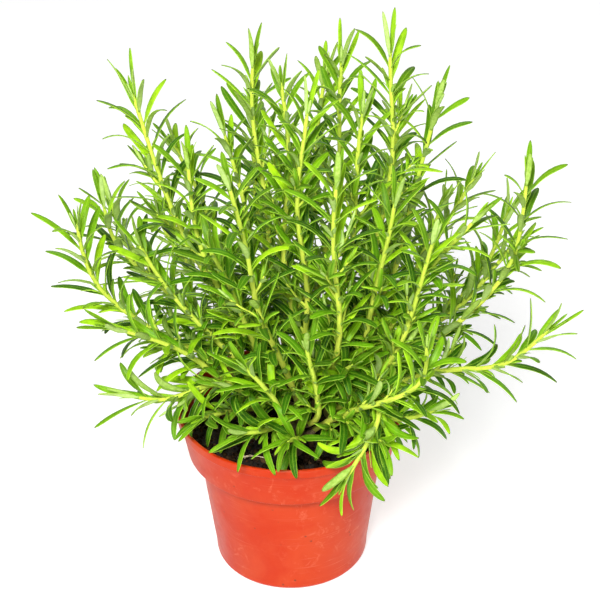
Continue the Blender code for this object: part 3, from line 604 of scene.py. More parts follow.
def add_sprig(space, sh, rng, s, phi, n, lower):
    """A short young side shoot from a leaf's axil, with its own leaf pairs."""
    p, t, side, b = sh["line"].at(s + 0.8)
    ang = phi + rng.uniform(-0.3, 0.3)
    r = unit(side * math.cos(ang) + b * math.sin(ang))
    a = math.radians(rng.uniform(34, 52))
    d = unit(t * math.cos(a) + r * math.sin(a))
    reach = rng.uniform(6.0, 10.0) + rng.uniform(0.0, 12.0) * lower
    end = p + d * reach + vec(0, 0, 0.12 * reach)
    for f in (0.4, 0.7, 1.0, 1.25):
        q = p + (end - p) * f
        if in_pot_or_soil(q, 1.0) or (f > 0.5 and space.hits(q, 0.9, "", 0.8, 0.1)):
            return False
    line = Line(curve_through([p, p + d * reach * 0.5, end], d, 1.5), cross(d, r))
    k, at = 0, line.length - 0.3
    frac = 1.0 - s / sh["line"].length
    while at > 2.2:
        for side_of in ((0, 2) if k % 2 else (1, 3)):
            leaf = try_leaf(space, sh, rng, at, side_of * math.pi / 2 + rng.uniform(-0.2, 0.2), frac,
                            "bud" if k == 0 else "sprig", False, line=line)
            if leaf:
                leaf["node"], leaf["side"] = n, 20 + k
                sh["leaves"].append(leaf)
        at -= 3.6 + 0.8 * k
        k += 1
    sh.setdefault("sprigs", []).append(line)
    return True


# ------------------------------------------------------------------ mesh tools
def fast_mesh(name, verts, faces_by_size, attrs=None, smooth=True, sharp=None):
    """An object from millimetre points. faces_by_size: index arrays, each (n, sides)."""
    mesh = bpy.data.meshes.new(name)
    verts = np.asarray(verts, dtype=np.float32) * MM
    mesh.vertices.add(len(verts))
    mesh.vertices.foreach_set("co", verts.ravel())
    loops = np.concatenate([np.asarray(f, np.int32).ravel() for f in faces_by_size if len(f)])
    totals = np.concatenate([np.full(len(f), np.asarray(f).shape[1], np.int32)
                             for f in faces_by_size if len(f)])
    starts = np.concatenate(([0], np.cumsum(totals)[:-1])).astype(np.int32)
    mesh.loops.add(len(loops))
    mesh.loops.foreach_set("vertex_index", loops)
    mesh.polygons.add(len(totals))
    mesh.polygons.foreach_set("loop_start", starts)
    mesh.polygons.foreach_set("loop_total", totals)
    mesh.polygons.foreach_set("use_smooth", np.full(len(totals), smooth, dtype=bool))
    mesh.update(calc_edges=True)
    mesh.validate()
    for key, data in (attrs or {}).items():
        layer = mesh.attributes.new(key, "FLOAT_COLOR", "POINT")
        layer.data.foreach_set("color", np.asarray(data, np.float32).ravel())
    if sharp:
        mesh.set_sharp_from_angle(angle=math.radians(sharp))
    obj = bpy.data.objects.new(name, mesh)
    bpy.context.scene.collection.objects.link(obj)
    return obj


def place(obj, material, nodes=()):
    obj.data.materials.clear()
    obj.data.materials.append(material)
    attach(obj, "root")
    if nodes:
        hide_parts(*nodes)
    return obj


class Tubes:
    """Collects closed tubes along curves into one mesh."""

    def __init__(self, sides):
        self.sides, self.v, self.q, self.t, self.a = sides, [], [], [], []
        self.count = 0

    def add(self, pts, tan, side, radii, attr, shape=None, tip=None):
        n, m = self.sides, len(pts)
        ang = 2 * np.pi * np.arange(n) / n
        base = self.count
        for j in range(m):
            nrm = side[j]
            bi = cross(tan[j], nrm)
            r = radii[j] * (np.ones(n) if shape is None else shape(ang, j))
            ring = pts[j] + np.outer(np.cos(ang) * r, nrm) + np.outer(np.sin(ang) * r, bi)
            self.v.append(ring)
            self.a.append(np.tile(attr[j], (n, 1)))
        k = np.arange(n)
        for j in range(m - 1):
            a = base + j * n
            self.q.append(np.stack([a + k, a + (k + 1) % n, a + n + (k + 1) % n, a + n + k], 1))
        self.count += m * n
        ends = [(0, pts[0] - tan[0] * radii[0] * 0.4, True),
                (m - 1, pts[-1] + tan[-1] * (radii[-1] * 0.6 if tip is None else tip), False)]
        for j, p, flip in ends:
            self.v.append(p[None])
            self.a.append(np.asarray(attr[j])[None])
            a = base + j * n
            tri = np.stack([a + k, a + (k + 1) % n, np.full(n, self.count)], 1)
            self.t.append(tri[:, ::-1] if flip else tri)
            self.count += 1

    def build(self, name, key):
        return fast_mesh(name, np.concatenate(self.v),
                         [np.concatenate(self.q), np.concatenate(self.t)],
                         {key: np.concatenate(self.a)})


# ------------------------------------------------------------------- materials
class Mat:
    """A small helper for one Principled material and its nodes."""

    def __init__(self, name):
        self.m = bpy.data.materials.new(name)
        self.m.use_nodes = True
        self.t = self.m.node_tree
        self.bsdf = next(n for n in self.t.nodes if n.type == "BSDF_PRINCIPLED")
        self.bsdf.inputs["Metallic"].default_value = 0.0

    def n(self, kind, **kw):
        node = self.t.nodes.new(kind)
        for k, v in kw.items():
            if k.startswith("in_"):
                node.inputs[k[3:].replace("_", " ")].default_value = v
            else:
                setattr(node, k, v)
        return node

    def link(self, a, b):
        self.t.links.new(a, b)

    def coords(self):
        return self.n("ShaderNodeTexCoord").outputs["Object"]

    def attr(self, key):
        a = self.n("ShaderNodeAttribute", attribute_name=key)
        s = self.n("ShaderNodeSeparateColor")
        self.link(a.outputs["Color"], s.inputs["Color"])
        return s.outputs

    def noise(self, scale, detail=4.0, rough=0.55, vec=None, stretch=None, distort=0.0):
        v = vec or self.coords()
        if stretch:
            mp = self.n("ShaderNodeMapping")
            mp.inputs["Scale"].default_value = stretch
            self.link(v, mp.inputs["Vector"])
            v = mp.outputs["Vector"]
        t = self.n("ShaderNodeTexNoise", in_Scale=scale, in_Detail=detail, in_Roughness=rough,
                   in_Distortion=distort)
        self.link(v, t.inputs["Vector"])
        return t.outputs["Fac"]

    def ramp(self, fac, stops, mode="LINEAR"):
        r = self.n("ShaderNodeValToRGB")
        r.color_ramp.interpolation = mode
        el = r.color_ramp.elements
        while len(el) > len(stops):
            el.remove(el[-1])
        while len(el) < len(stops):
            el.new(0.5)
        for e, (pos, col) in zip(el, stops):
            e.position = pos
            e.color = tuple(col) + (1.0,) if len(col) == 3 else col
        self.link(fac, r.inputs["Fac"])
        return r.outputs["Color"]

    def remap(self, fac, a, b, c=0.0, d=1.0):
        m = self.n("ShaderNodeMapRange")
        for k, v in zip(("From Min", "From Max", "To Min", "To Max"), (a, b, c, d)):
            m.inputs[k].default_value = v
        self.link(fac, m.inputs["Value"])
        return m.outputs["Result"]

    def math(self, op, a, b=None):
        m = self.n("ShaderNodeMath", operation=op)
        for i, v in enumerate((a, b)):
            if v is None:
                continue
            if isinstance(v, (int, float)):
                m.inputs[i].default_value = v
            else:
                self.link(v, m.inputs[i])
        return m.outputs[0]

    def mix(self, fac, a, b, blend="MIX"):
        m = self.n("ShaderNodeMix", data_type="RGBA", blend_type=blend)
        for i, v in ((0, fac), (6, a), (7, b)):
            if isinstance(v, (int, float)):
                m.inputs[i].default_value = v
            elif isinstance(v, tuple):
                m.inputs[i].default_value = v + (1.0,) if len(v) == 3 else v
            else:
                self.link(v, m.inputs[i])
        return m.outputs[2]

    def bump(self, height, strength, dist_mm, after=None):
        b = self.n("ShaderNodeBump")
        b.inputs["Strength"].default_value = strength
        b.inputs["Distance"].default_value = dist_mm * MM
        self.link(height, b.inputs["Height"])
        if after is not None:
            self.link(after, b.inputs["Normal"])
        return b.outputs["Normal"]

    def out(self, colour=None, rough=None, normal=None, **consts):
        if colour is not None:
            self.link(colour, self.bsdf.inputs["Base Color"])
        if rough is not None:
            if isinstance(rough, (int, float)):
                self.bsdf.inputs["Roughness"].default_value = rough
            else:
                self.link(rough, self.bsdf.inputs["Roughness"])
        if normal is not None:
            self.link(normal, self.bsdf.inputs["Normal"])
        for k, v in consts.items():
            self.bsdf.inputs[k.replace("_", " ")].default_value = v
        return self.m


def leaf_material():
    m = Mat("rosemary_leaf")
    tint, under, along = m.attr("leaf_a")[:3]
    young, rib_and_highlight, old = m.attr("leaf_b")[:3]
    green = m.ramp(tint, [(0.0, (0.008, 0.050, 0.0005)), (0.30, (0.026, 0.118, 0.001)),
                          (0.65, (0.125, 0.330, 0.002)), (1.0, (0.410, 0.720, 0.008))])
    green = m.mix(m.math("MULTIPLY", old, 0.55), green, (0.030, 0.150, 0.003))
    fresh = m.mix(young, green, (0.270, 0.520, 0.014))
    # slow blotches along the blade and a fine pebbled grain
    blotch = m.noise(140.0, 3.0)
    fresh = m.mix(m.remap(blotch, 0.35, 0.7, 0.0, 0.5), fresh, (0.030, 0.140, 0.002))
    grain = m.noise(1600.0, 2.0)
    fresh = m.mix(m.remap(grain, 0.45, 0.75, 0.0, 0.22), fresh, (0.300, 0.540, 0.040))
    # the sunk midrib and the rolled edges are lighter: partly their own paler colour, partly a painted highlight that
    # stands in for the leaf's gloss
    fresh = m.mix(m.math("MULTIPLY", m.remap(rib_and_highlight, 0.55, 0.98), 0.70), fresh, (0.540, 0.820, 0.070))
    # a little paler at the foot, a brown point at the tip
    fresh = m.mix(m.remap(along, 0.20, 0.0, 0.0, 0.5), fresh, (0.420, 0.620, 0.060))
    pale = m.mix(m.remap(m.noise(500.0, 2.0), 0.3, 0.7), (0.300, 0.500, 0.045), (0.500, 0.690, 0.150))
    pale = m.mix(m.math("MULTIPLY", tint, 0.35), pale, (0.720, 0.860, 0.460))
    col = m.mix(under, fresh, pale)
    col = m.mix(m.remap(along, 0.955, 0.99, 0.0, 0.75), col, (0.090, 0.060, 0.010))
    wrinkle = m.noise(700.0, 3.0, 0.6)
    nrm = m.bump(wrinkle, 0.35, 0.25)
    nrm = m.bump(grain, 0.25, 0.08, nrm)
    rough = m.remap(under, 0.0, 1.0, 0.38, 0.85)
    return m.out(col, rough, nrm, Specular_IOR_Level=0.10)


def stem_material():
    m = Mat("green_stem")
    age, ridge, tint = m.attr("stem_a")[:3]
    col = m.ramp(age, [(0.0, (0.640, 0.800, 0.080)), (0.45, (0.720, 0.790, 0.090)),
                       (0.70, (0.420, 0.480, 0.045)), (0.92, (0.170, 0.130, 0.040)),
                       (1.0, (0.110, 0.065, 0.030))])
    streak = m.noise(420.0, 4.0, stretch=(1.0, 1.0, 0.25))
    col = m.mix(m.remap(streak, 0.40, 0.75, 0.0, 0.45), col, (0.330, 0.440, 0.020))
    down = m.noise(2600.0, 2.0)
    col = m.mix(m.remap(down, 0.55, 0.75, 0.0, 0.35), col, (0.700, 0.800, 0.300))
    nrm = m.bump(streak, 0.5, 0.25)
    nrm = m.bump(down, 0.5, 0.12, nrm)
    return m.out(col, 0.72, nrm, Specular_IOR_Level=0.15)


def bark_material():
    m = Mat("woody_bark")
    fine = m.noise(900.0, 5.0, 0.65, stretch=(1.0, 1.0, 0.22))
    broad = m.noise(160.0, 3.0)
    col = m.ramp(fine, [(0.25, (0.045, 0.026, 0.013)), (0.5, (0.150, 0.095, 0.050)),
                        (0.75, (0.300, 0.215, 0.130))])
    col = m.mix(m.remap(broad, 0.4, 0.7, 0.0, 0.5), col, (0.150, 0.150, 0.060))
    nrm = m.bump(fine, 0.9, 0.6)
    return m.out(col, 0.9, nrm)


def soil_material():
    m = Mat("potting_soil")
    clump = m.noise(260.0, 6.0, 0.7)
    fine = m.noise(1500.0, 4.0, 0.7)
    col = m.ramp(clump, [(0.30, (0.0045, 0.0030, 0.0022)), (0.52, (0.016, 0.010, 0.006)),
                         (0.72, (0.048, 0.030, 0.017))])
    col = m.mix(m.remap(fine, 0.5, 0.75, 0.0, 0.6), col, (0.060, 0.036, 0.020))
    fleck = m.n("ShaderNodeTexVoronoi", in_Scale=520.0)
    m.link(m.coords(), fleck.inputs["Vector"])
    spot = m.remap(fleck.outputs["Distance"], 0.12, 0.06)
    sparse = m.remap(m.noise(90.0, 2.0), 0.60, 0.66)
    col = m.mix(m.math("MULTIPLY", spot, sparse), col, (0.230, 0.160, 0.095))
    nrm = m.bump(clump, 1.0, 2.2)
    nrm = m.bump(fine, 1.0, 0.7, nrm)
    return m.out(col, m.remap(fine, 0.3, 0.7, 0.75, 1.0), nrm)


def crumb_material():
    m = Mat("soil_crumb")
    tint, light, third = m.attr("crumb_a")[:3]
    fine = m.noise(1800.0, 4.0, 0.7)
    col = m.ramp(tint, [(0.0, (0.0040, 0.0022, 0.0012)), (0.45, (0.019, 0.009, 0.004)),
                        (0.8, (0.068, 0.035, 0.016)), (1.0, (0.150, 0.084, 0.040))])
    col = m.mix(m.remap(fine, 0.45, 0.75, 0.0, 0.5), col, (0.070, 0.045, 0.026))
    col = m.mix(light, col, (0.330, 0.250, 0.160))
    nrm = m.bump(fine, 1.0, 0.5)
    return m.out(col, 0.95, nrm, Specular_IOR_Level=0.08)


def twig_material():
    m = Mat("dry_root_fibre")
    fine = m.noise(1300.0, 4.0, 0.6, stretch=(0.2, 1.0, 1.0))
    col = m.ramp(fine, [(0.3, (0.400, 0.290, 0.170)), (0.5, (0.660, 0.530, 0.360)),
                        (0.75, (0.800, 0.700, 0.540))])
    return m.out(col, 0.85, m.bump(fine, 0.8, 0.25))


def pot_material():
    m = Mat("nursery_pot_plastic")
    co = m.coords()
    cloud = m.noise(26.0, 5.0, 0.6, distort=0.6)
    col = m.mix(m.remap(cloud, 0.42, 0.62, 0.0, 0.85), (0.480, 0.028, 0.001), (0.520, 0.050, 0.008))
    # chalky bloom where the plastic has rubbed
    bloom = m.noise(95.0, 6.0, 0.72, distort=1.6)
    worn = m.remap(m.noise(24.0, 2.0), 0.40, 0.62)
    col = m.mix(m.math("MULTIPLY", m.remap(bloom, 0.55, 0.70, 0.0, 0.55), worn), col, (0.640, 0.170, 0.085))
    # hairline scratches, mostly level and slanting
    for turn, scale in ((0.35, 1.0), (-0.9, 1.3)):
        mp = m.n("ShaderNodeMapping")
        mp.inputs["Rotation"].default_value = (0.2, turn, 0.4)
        mp.inputs["Scale"].default_value = (22.0 * scale, 22.0 * scale, 900.0 * scale)
        m.link(co, mp.inputs["Vector"])
        s = m.n("ShaderNodeTexNoise", in_Scale=1.0, in_Detail=2.0)
        m.link(mp.outputs["Vector"], s.inputs["Vector"])
        line = m.math("MULTIPLY", m.remap(s.outputs["Fac"], 0.66, 0.73, 0.0, 0.38), worn)
        col = m.mix(line, col, (0.600, 0.180, 0.095))
    # specks of soil dust
    v = m.n("ShaderNodeTexVoronoi", in_Scale=150.0)
    m.link(co, v.inputs["Vector"])
    speck = m.math("MULTIPLY", m.remap(v.outputs["Distance"], 0.13, 0.08),
                   m.remap(m.noise(70.0, 3.0), 0.50, 0.58))
    col = m.mix(m.math("MULTIPLY", speck, 0.8), col, (0.110, 0.035, 0.015))
    peel = m.noise(420.0, 2.0)
    wave = m.noise(45.0, 2.0)
    nrm = m.bump(wave, 0.25, 1.2)
    nrm = m.bump(peel, 0.12, 0.15, nrm)
    rough = m.remap(m.noise(70.0, 5.0, 0.7), 0.3, 0.75, 0.30, 0.52)
    return m.out(col, rough, nrm, Specular_IOR_Level=0.18)


def floor_material():
    m = Mat("studio_floor")
    n = m.noise(3.0, 3.0)
    col = m.mix(m.remap(n, 0.3, 0.7), (0.600, 0.600, 0.597), (0.615, 0.615, 0.615))
    m.bsdf.inputs["Emission Color"].default_value = (1.0, 1.0, 1.0, 1.0)
    m.bsdf.inputs["Emission Strength"].default_value = 0.55
    return m.out(col, 0.7)


# ---------------------------------------------------------------------- leaves
# Across a leaf: x as a share of the half width, z in millimetres. The blade is
# arched with a sunk midrib, and its edges roll under beside a raised rib below.
SECTION = [(-1.00, -0.10), (-0.62, 0.24), (0.0, 0.02), (0.62, 0.24), (1.00, -0.10),
           (0.80, -0.44), (0.40, -0.16), (0.0, -0.40), (-0.40, -0.16), (-0.80, -0.44)]
UNDER = [0.0, 0.0, 0.0, 0.0, 0.0, 0.55, 1.0, 0.85, 1.0, 0.55]
# how much lighter each point across a leaf is: the paler midrib and edges, plus a painted highlight on them
RIB_AND_HIGHLIGHT = [1.0, 0.25, 0.68, 0.25, 1.0, 0.3, 0.2, 0.9, 0.2, 0.3]
SMALL = [(-1.00, -0.06), (0.0, 0.16), (1.00, -0.06), (0.62, -0.36), (0.0, -0.28), (-0.62, -0.36)]
UNDER_SMALL = [0.0, 0.0, 0.0, 0.8, 1.0, 0.8]
# the same for small leaves: paler rib and edges with a painted highlight on them
RIB_AND_HIGHLIGHT_SMALL = [0.9, 0.5, 0.9, 0.3, 0.8, 0.3]
RINGS_MAIN = (0.0, 0.06, 0.125, 0.25, 0.375, 0.5, 0.625, 0.75, 0.86, 0.93, 0.975)
RINGS_SMALL = (0.0, 0.14, 0.34, 0.56, 0.76, 0.90, 0.97)


def leaf_arrays(leaf):
    main = leaf["kind"] == "main"
    rings = RINGS_MAIN if main else RINGS_SMALL
    rows = leaf["rows"]
    pos = np.array([r[0] for r in rows])
    wid = np.array([r[2] for r in rows])
    top = np.array([r[3] for r in rows])
    at = np.arange(len(rows)) / (len(rows) - 1.0)
    sec = np.array(SECTION if main else SMALL)
    under, rib_and_highlight = (UNDER, RIB_AND_HIGHLIGHT) if main else (UNDER_SMALL, RIB_AND_HIGHLIGHT_SMALL)
    n = len(sec)
    verts, a, b = [], [], []
    hw0 = leaf["width"] * 0.5
    thick = 1.0 if main else 0.85
    tint = leaf["shade"]
    young = smooth01((leaf["top"] - 0.72) / 0.28) * 0.45
    old = smooth01((0.45 - leaf["top"]) / 0.35)
    if leaf["kind"] in ("axil", "sprig"):
        young = min(1.0, young + 0.22)
    # a leaf turns its upper side to the light as it grows out
    d5, u5 = rows[5][1], rows[5][3]
    sky = vec(0, 0, 1) - d5 * float(d5[2])
    lean = math.sqrt(float(np.dot(sky, sky)))
    turn = math.atan2(float(np.dot(cross(u5, sky), d5)), float(np.dot(u5, sky)))
    turn = max(-1.9, min(1.9, turn)) * smooth01((lean - 0.30) / 0.45) * (0.35 + 0.60 * leaf["turn"])
    for f in rings:
        c = np.array([np.interp(f, at, pos[:, k]) for k in range(3)])
        w = unit(np.array([np.interp(f, at, wid[:, k]) for k in range(3)]))
        u = np.array([np.interp(f, at, top[:, k]) for k in range(3)])
        u = unit(u - w * float(np.dot(u, w)))
        ang = leaf["curl"] * f + turn * smooth01(f * 1.5)
        w, u = w * math.cos(ang) + u * math.sin(ang), u * math.cos(ang) - w * math.sin(ang)
        hw = hw0 * leaf_profile(f)
        ht = thick * (0.45 + 0.55 * min(1.0, leaf_profile(f)))
        verts.append(c + np.outer(sec[:, 0] * hw, w) + np.outer(sec[:, 1] * ht, u))
        a.append([(tint, under[i], f, 1.0) for i in range(n)])
        b.append([(young, rib_and_highlight[i], old, 1.0) for i in range(n)])
    verts.append(pos[-1][None] - u[None] * 0.1)
    a.append([(tint, 0.2, 1.0, 1.0)])
    b.append([(young, 0.0, old, 1.0)])
    m = len(rings)
    k = np.arange(n)
    quads = [np.stack([j * n + k, j * n + n + k, j * n + n + (k + 1) % n, j * n + (k + 1) % n], 1)
             for j in range(m - 1)]
    tip = np.stack([(m - 1) * n + k, np.full(n, m * n), (m - 1) * n + (k + 1) % n], 1)
    foot = np.arange(n)[None]
    return np.concatenate(verts), np.concatenate(quads), tip, foot, np.concatenate(a), np.concatenate(b)


def leaves_object(name, leaves):
    vs, faces, aa, bb, base = [], {}, [], [], 0
    for leaf in leaves:
        v, q, t, f, a, b = leaf_arrays(leaf)
        vs.append(v)
        for part in (q, t, f):
            faces.setdefault(part.shape[1], []).append(part + base)
        aa.append(a)
        bb.append(b)
        base += len(v)
    return fast_mesh(name, np.concatenate(vs), [np.concatenate(p) for p in faces.values()],
                     {"leaf_a": np.concatenate(aa), "leaf_b": np.concatenate(bb)})


def stem_object(name, sh, rng):
    line = sh["line"]
    tubes = Tubes(12)
    n = int(line.length / 1.6)
    nodes = [s for _, s in sh["nodes"]]
    pts, tan, side, rad, attr = [], [], [], [], []
    for j in range(n + 1):
        s = line.length * j / n
        p, t, nrm, b = line.at(s)
        if j == 0:
            p = p - t * 1.1
        swell = sum(math.exp(-((s - q) / 1.7) ** 2) for q in nodes)
        r = stem_radius(sh, s) * (1.0 + 0.09 * min(1.0, swell)) + 0.05
        r *= 1.0 - 0.45 * smooth01((s - line.length + 5.0) / 5.0)
        pts.append(p)
        tan.append(t)
        side.append(nrm)
        rad.append(r)
        age = 1.0 - s / line.length
        dist = line.length - s
        age = smooth01(dist / 190.0) * 0.75 + 0.35 * smooth01((24.0 - s) / 24.0)
        attr.append((min(1.0, age), 0.5, rng.random(), 1.0))
    shape = lambda ang, j: 1.0 + 0.09 * np.cos(4 * (ang - math.pi / 4))
    tubes.add(pts, tan, side, rad, attr, shape, tip=2.2)
    for twig in sh.get("sprigs", ()):
        m = len(twig.p)
        rad = [0.78 - 0.34 * j / (m - 1.0) for j in range(m)]
        tubes.add(twig.p, twig.t, twig.n, rad, [(0.15, 0.5, rng.random(), 1.0)] * m)
    return tubes.build(name, "stem_a")


# -------------------------------------------------------------------- the plant
def make_plant():
    leaf_mat, stem_mat = leaf_material(), stem_material()
    shoots = plan_plant(SEED, True)
    rng = random.Random(5)
    for sh in shoots:
        stem = stem_object(sh["name"] + "_stem", sh, rng)
        place(stem, stem_mat, [sh["name"]])
        leaves = leaves_object(sh["name"] + "_leaves", sh["leaves"])
        place(leaves, leaf_mat, [sh["name"]])
    print("leaves:", sum(len(s["leaves"]) for s in shoots))
    bark = bark_material()
    for name in CROWNS:
        tubes = Tubes(14)
        seed = sum(map(ord, name))

        def rough(ang, j, s=seed):
            return np.array([1.0 + 0.16 * noise.noise(Vector((math.cos(a) * 1.6 + s, math.sin(a) * 1.6, j * 0.55)))
                             + 0.05 * math.sin(5 * a + s) for a in ang])
        hs = np.linspace(-38.0, CROWN_TOP, 42)
        pts = [crown_axis(name, float(h)) for h in hs]
        tan = [vec(0, 0, 1)] * len(hs)
        side = [vec(1, 0, 0)] * len(hs)
        rad = [1.2 + 2.9 * smooth01((h + 38.0) / 30.0) - 1.7 * smooth01((h - 6.0) / 22.0) for h in hs]
        tubes.add(pts, tan, side, rad, [(0.5, 0, 0, 1)] * len(hs), rough)
        for level, k, foot, d in crown_slots(name):
            if level > 1:
                continue
            start = crown_axis(name, CROWN_LEVELS[level])
            pts = curve_through([start, foot - d * 2.0, foot + d * 0.5], unit(foot - start), 1.2)
            line = Line(pts, vec(0, 0, 1) if abs(d[2]) < 0.9 else vec(1, 0, 0))
            m = len(line.p)
            rad = [2.7 - 0.85 * smooth01(j / (m - 1.0)) for j in range(m)]
            tubes.add(line.p, line.t, line.n, rad, [(0.5, 0, 0, 1)] * m, rough)
        r2 = random.Random("crown" + name)
        for k in range(4):
            a = math.radians(90.0 * k + 45.0)
            d = unit(vec(math.cos(a), math.sin(a), -r2.uniform(0.5, 1.1)))
            length = r2.uniform(9.0, 12.0)
            start = crown_axis(name, -11.5)
            pts = curve_through([start, start + d * (3.5 + length * 0.5), start + d * (3.5 + length) - vec(0, 0, 2)], d, 1.5)
            line = Line(pts, vec(0, 0, 1))
            m = len(line.p)
            rad = [1.9 - 1.2 * j / (m - 1.0) for j in range(m)]
            tubes.add(line.p, line.t, line.n, rad, [(0.5, 0, 0, 1)] * m, rough)
        place(tubes.build("crown_" + name + "_bark", "bark_a"), bark, ["crown_" + name])


# ----------------------------------------------------------------- soil and pot
def soil_height(x, y):
    return (SOIL_Z + 0.9 * math.sin(x / 13.0 + 0.8) * math.cos(y / 15.0 - 0.4)
            + 0.012 * x + 0.010 * y)


def rough_soil_height(x, y):
    h = soil_height(x, y)
    h += 1.1 * noise.noise(Vector((x / 7.0, y / 7.0, 3.1)))
    h += 0.8 * noise.noise(Vector((x / 2.9, y / 2.9, 7.7)))
    h += 0.45 * noise.noise(Vector((x / 1.3, y / 1.3, 1.3)))
    return h


def inner_radius(z):
    """The pot's inner wall at height z."""
    prof = sorted((z0, r0) for r0, z0 in POT_INSIDE)
    return float(np.interp(z, [p[0] for p in prof], [p[1] for p in prof]))


POT_OUTSIDE = [         # radius, height, fillet radius: up the outside
    (44.0, 0.0, 3.4), (44.5, 8.0, 0.0), (51.8, 68.4, 1.2), (58.3, 72.0, 1.0),
    (61.8, 92.4, 0.35), (63.3, 92.9, 0.6), (63.4, 98.0, 0.9), (61.5, 98.0, 0.7),
]
POT_INSIDE = [          # and down the inside
    (60.4, 92.6), (57.1, 73.8), (50.8, 69.6), (42.4, 4.4), (41.0, 2.0),
]


def fillet_profile():
    """The pot's section with its corners rounded, from the axis under the base,
    up the outside, over the lip and down inside to the axis again."""
    pts = [(0.0, 0.0, 0.0), (36.0, 0.0, 0.0)] + POT_OUTSIDE
    pts += [(r, z, 0.9) for r, z in POT_INSIDE[:3]] + [(42.6, 6.0, 0.0), (41.2, 2.0, 1.2), (30.0, 2.0, 0.0), (0.0, 2.0, 0.0)]
    out = []
    for i, (r, z, f) in enumerate(pts):
        p = np.array((r, z))
        if f <= 0.0 or i in (0, len(pts) - 1):
            out.append(p)
            continue
        a = np.array(pts[i - 1][:2]) - p
        b = np.array(pts[i + 1][:2]) - p
        la, lb = np.linalg.norm(a), np.linalg.norm(b)
        a, b = a / la, b / lb
        cosg = float(np.clip(np.dot(a, b), -1, 1))
        half = math.acos(cosg) / 2
        d = min(f / max(0.05, math.tan(half)), la * 0.45, lb * 0.45)
        p0, p1 = p + a * d, p + b * d
        for k in range(6):
            t = k / 5.0
            out.append(p0 * (1 - t) ** 2 + p * 2 * t * (1 - t) + p1 * t * t)
    # break long runs so that the wall can carry its slight waves
    fine = [out[0]]
    for q in out[1:]:
        gap = float(np.linalg.norm(q - fine[-1]))
        n = max(1, int(gap / 6.0))
        start = fine[-1]
        for k in range(1, n + 1):
            fine.append(start + (q - start) * (k / n))
    return fine


def make_pot():
    seg = 160
    prof = fillet_profile()
    verts, index = [], []
    for r, z in prof:
        if r < 0.01:
            index.append(np.full(seg, len(verts)))
            verts.append((0.0, 0.0, z))
            continue
        index.append(np.arange(len(verts), len(verts) + seg))
        for k in range(seg):
            a = 2 * math.pi * k / seg
            c, s = math.cos(a), math.sin(a)
            # moulded walls are never quite true
            wave = 0.22 * noise.noise(Vector((c * 1.7, s * 1.7, z / 40.0))) * smooth01(z / 30.0)
            wave += 0.10 * math.cos(2 * a + 0.7) * smooth01(z / 98.0)
            verts.append(((r + wave) * c, (r + wave) * s, z))
    quads, tris = [], []
    for a, b in zip(index, index[1:]):
        k = np.arange(seg)
        n = (k + 1) % seg
        if a[0] == a[1]:
            tris.append(np.stack([a[k], b[n], b[k]], 1)[:, ::1])
        elif b[0] == b[1]:
            tris.append(np.stack([a[k], a[n], b[k]], 1))
        else:
            quads.append(np.stack([a[k], a[n], b[n], b[k]], 1))
    pot = fast_mesh("nursery_pot", verts, [np.concatenate(quads), np.concatenate(tris)], sharp=40)
    # drainage holes through the base
    cv, cq, cf = [], [], []
    for h in range(8):
        a0 = 2 * math.pi * h / 8
        x, y, base = 30.0 * math.cos(a0), 30.0 * math.sin(a0), len(cv)
        for z in (-4.0, 6.0):
            for k in range(24):
                t = 2 * math.pi * k / 24
                cv.append((x + 4.0 * math.cos(t), y + 4.0 * math.sin(t), z))
        k = np.arange(24)
        cq.append(np.stack([base + k, base + (k + 1) % 24, base + 24 + (k + 1) % 24, base + 24 + k], 1))
        cf.append((base + np.arange(24))[::-1][None])
        cf.append((base + 24 + np.arange(24))[None])
    cutter = fast_mesh("hole_tool", cv, [np.concatenate(cq), np.concatenate(cf)], smooth=False)
    mod = pot.modifiers.new("holes", "BOOLEAN")
    mod.operation, mod.solver, mod.object = "DIFFERENCE", "EXACT", cutter
    dg = bpy.context.evaluated_depsgraph_get()
    done = bpy.data.meshes.new_from_object(pot.evaluated_get(dg))
    pot.modifiers.clear()
    pot.data = done
    bpy.data.objects.remove(cutter, do_unlink=True)
    done.set_sharp_from_angle(angle=math.radians(40))
    place(pot, pot_material(), ["pot"])


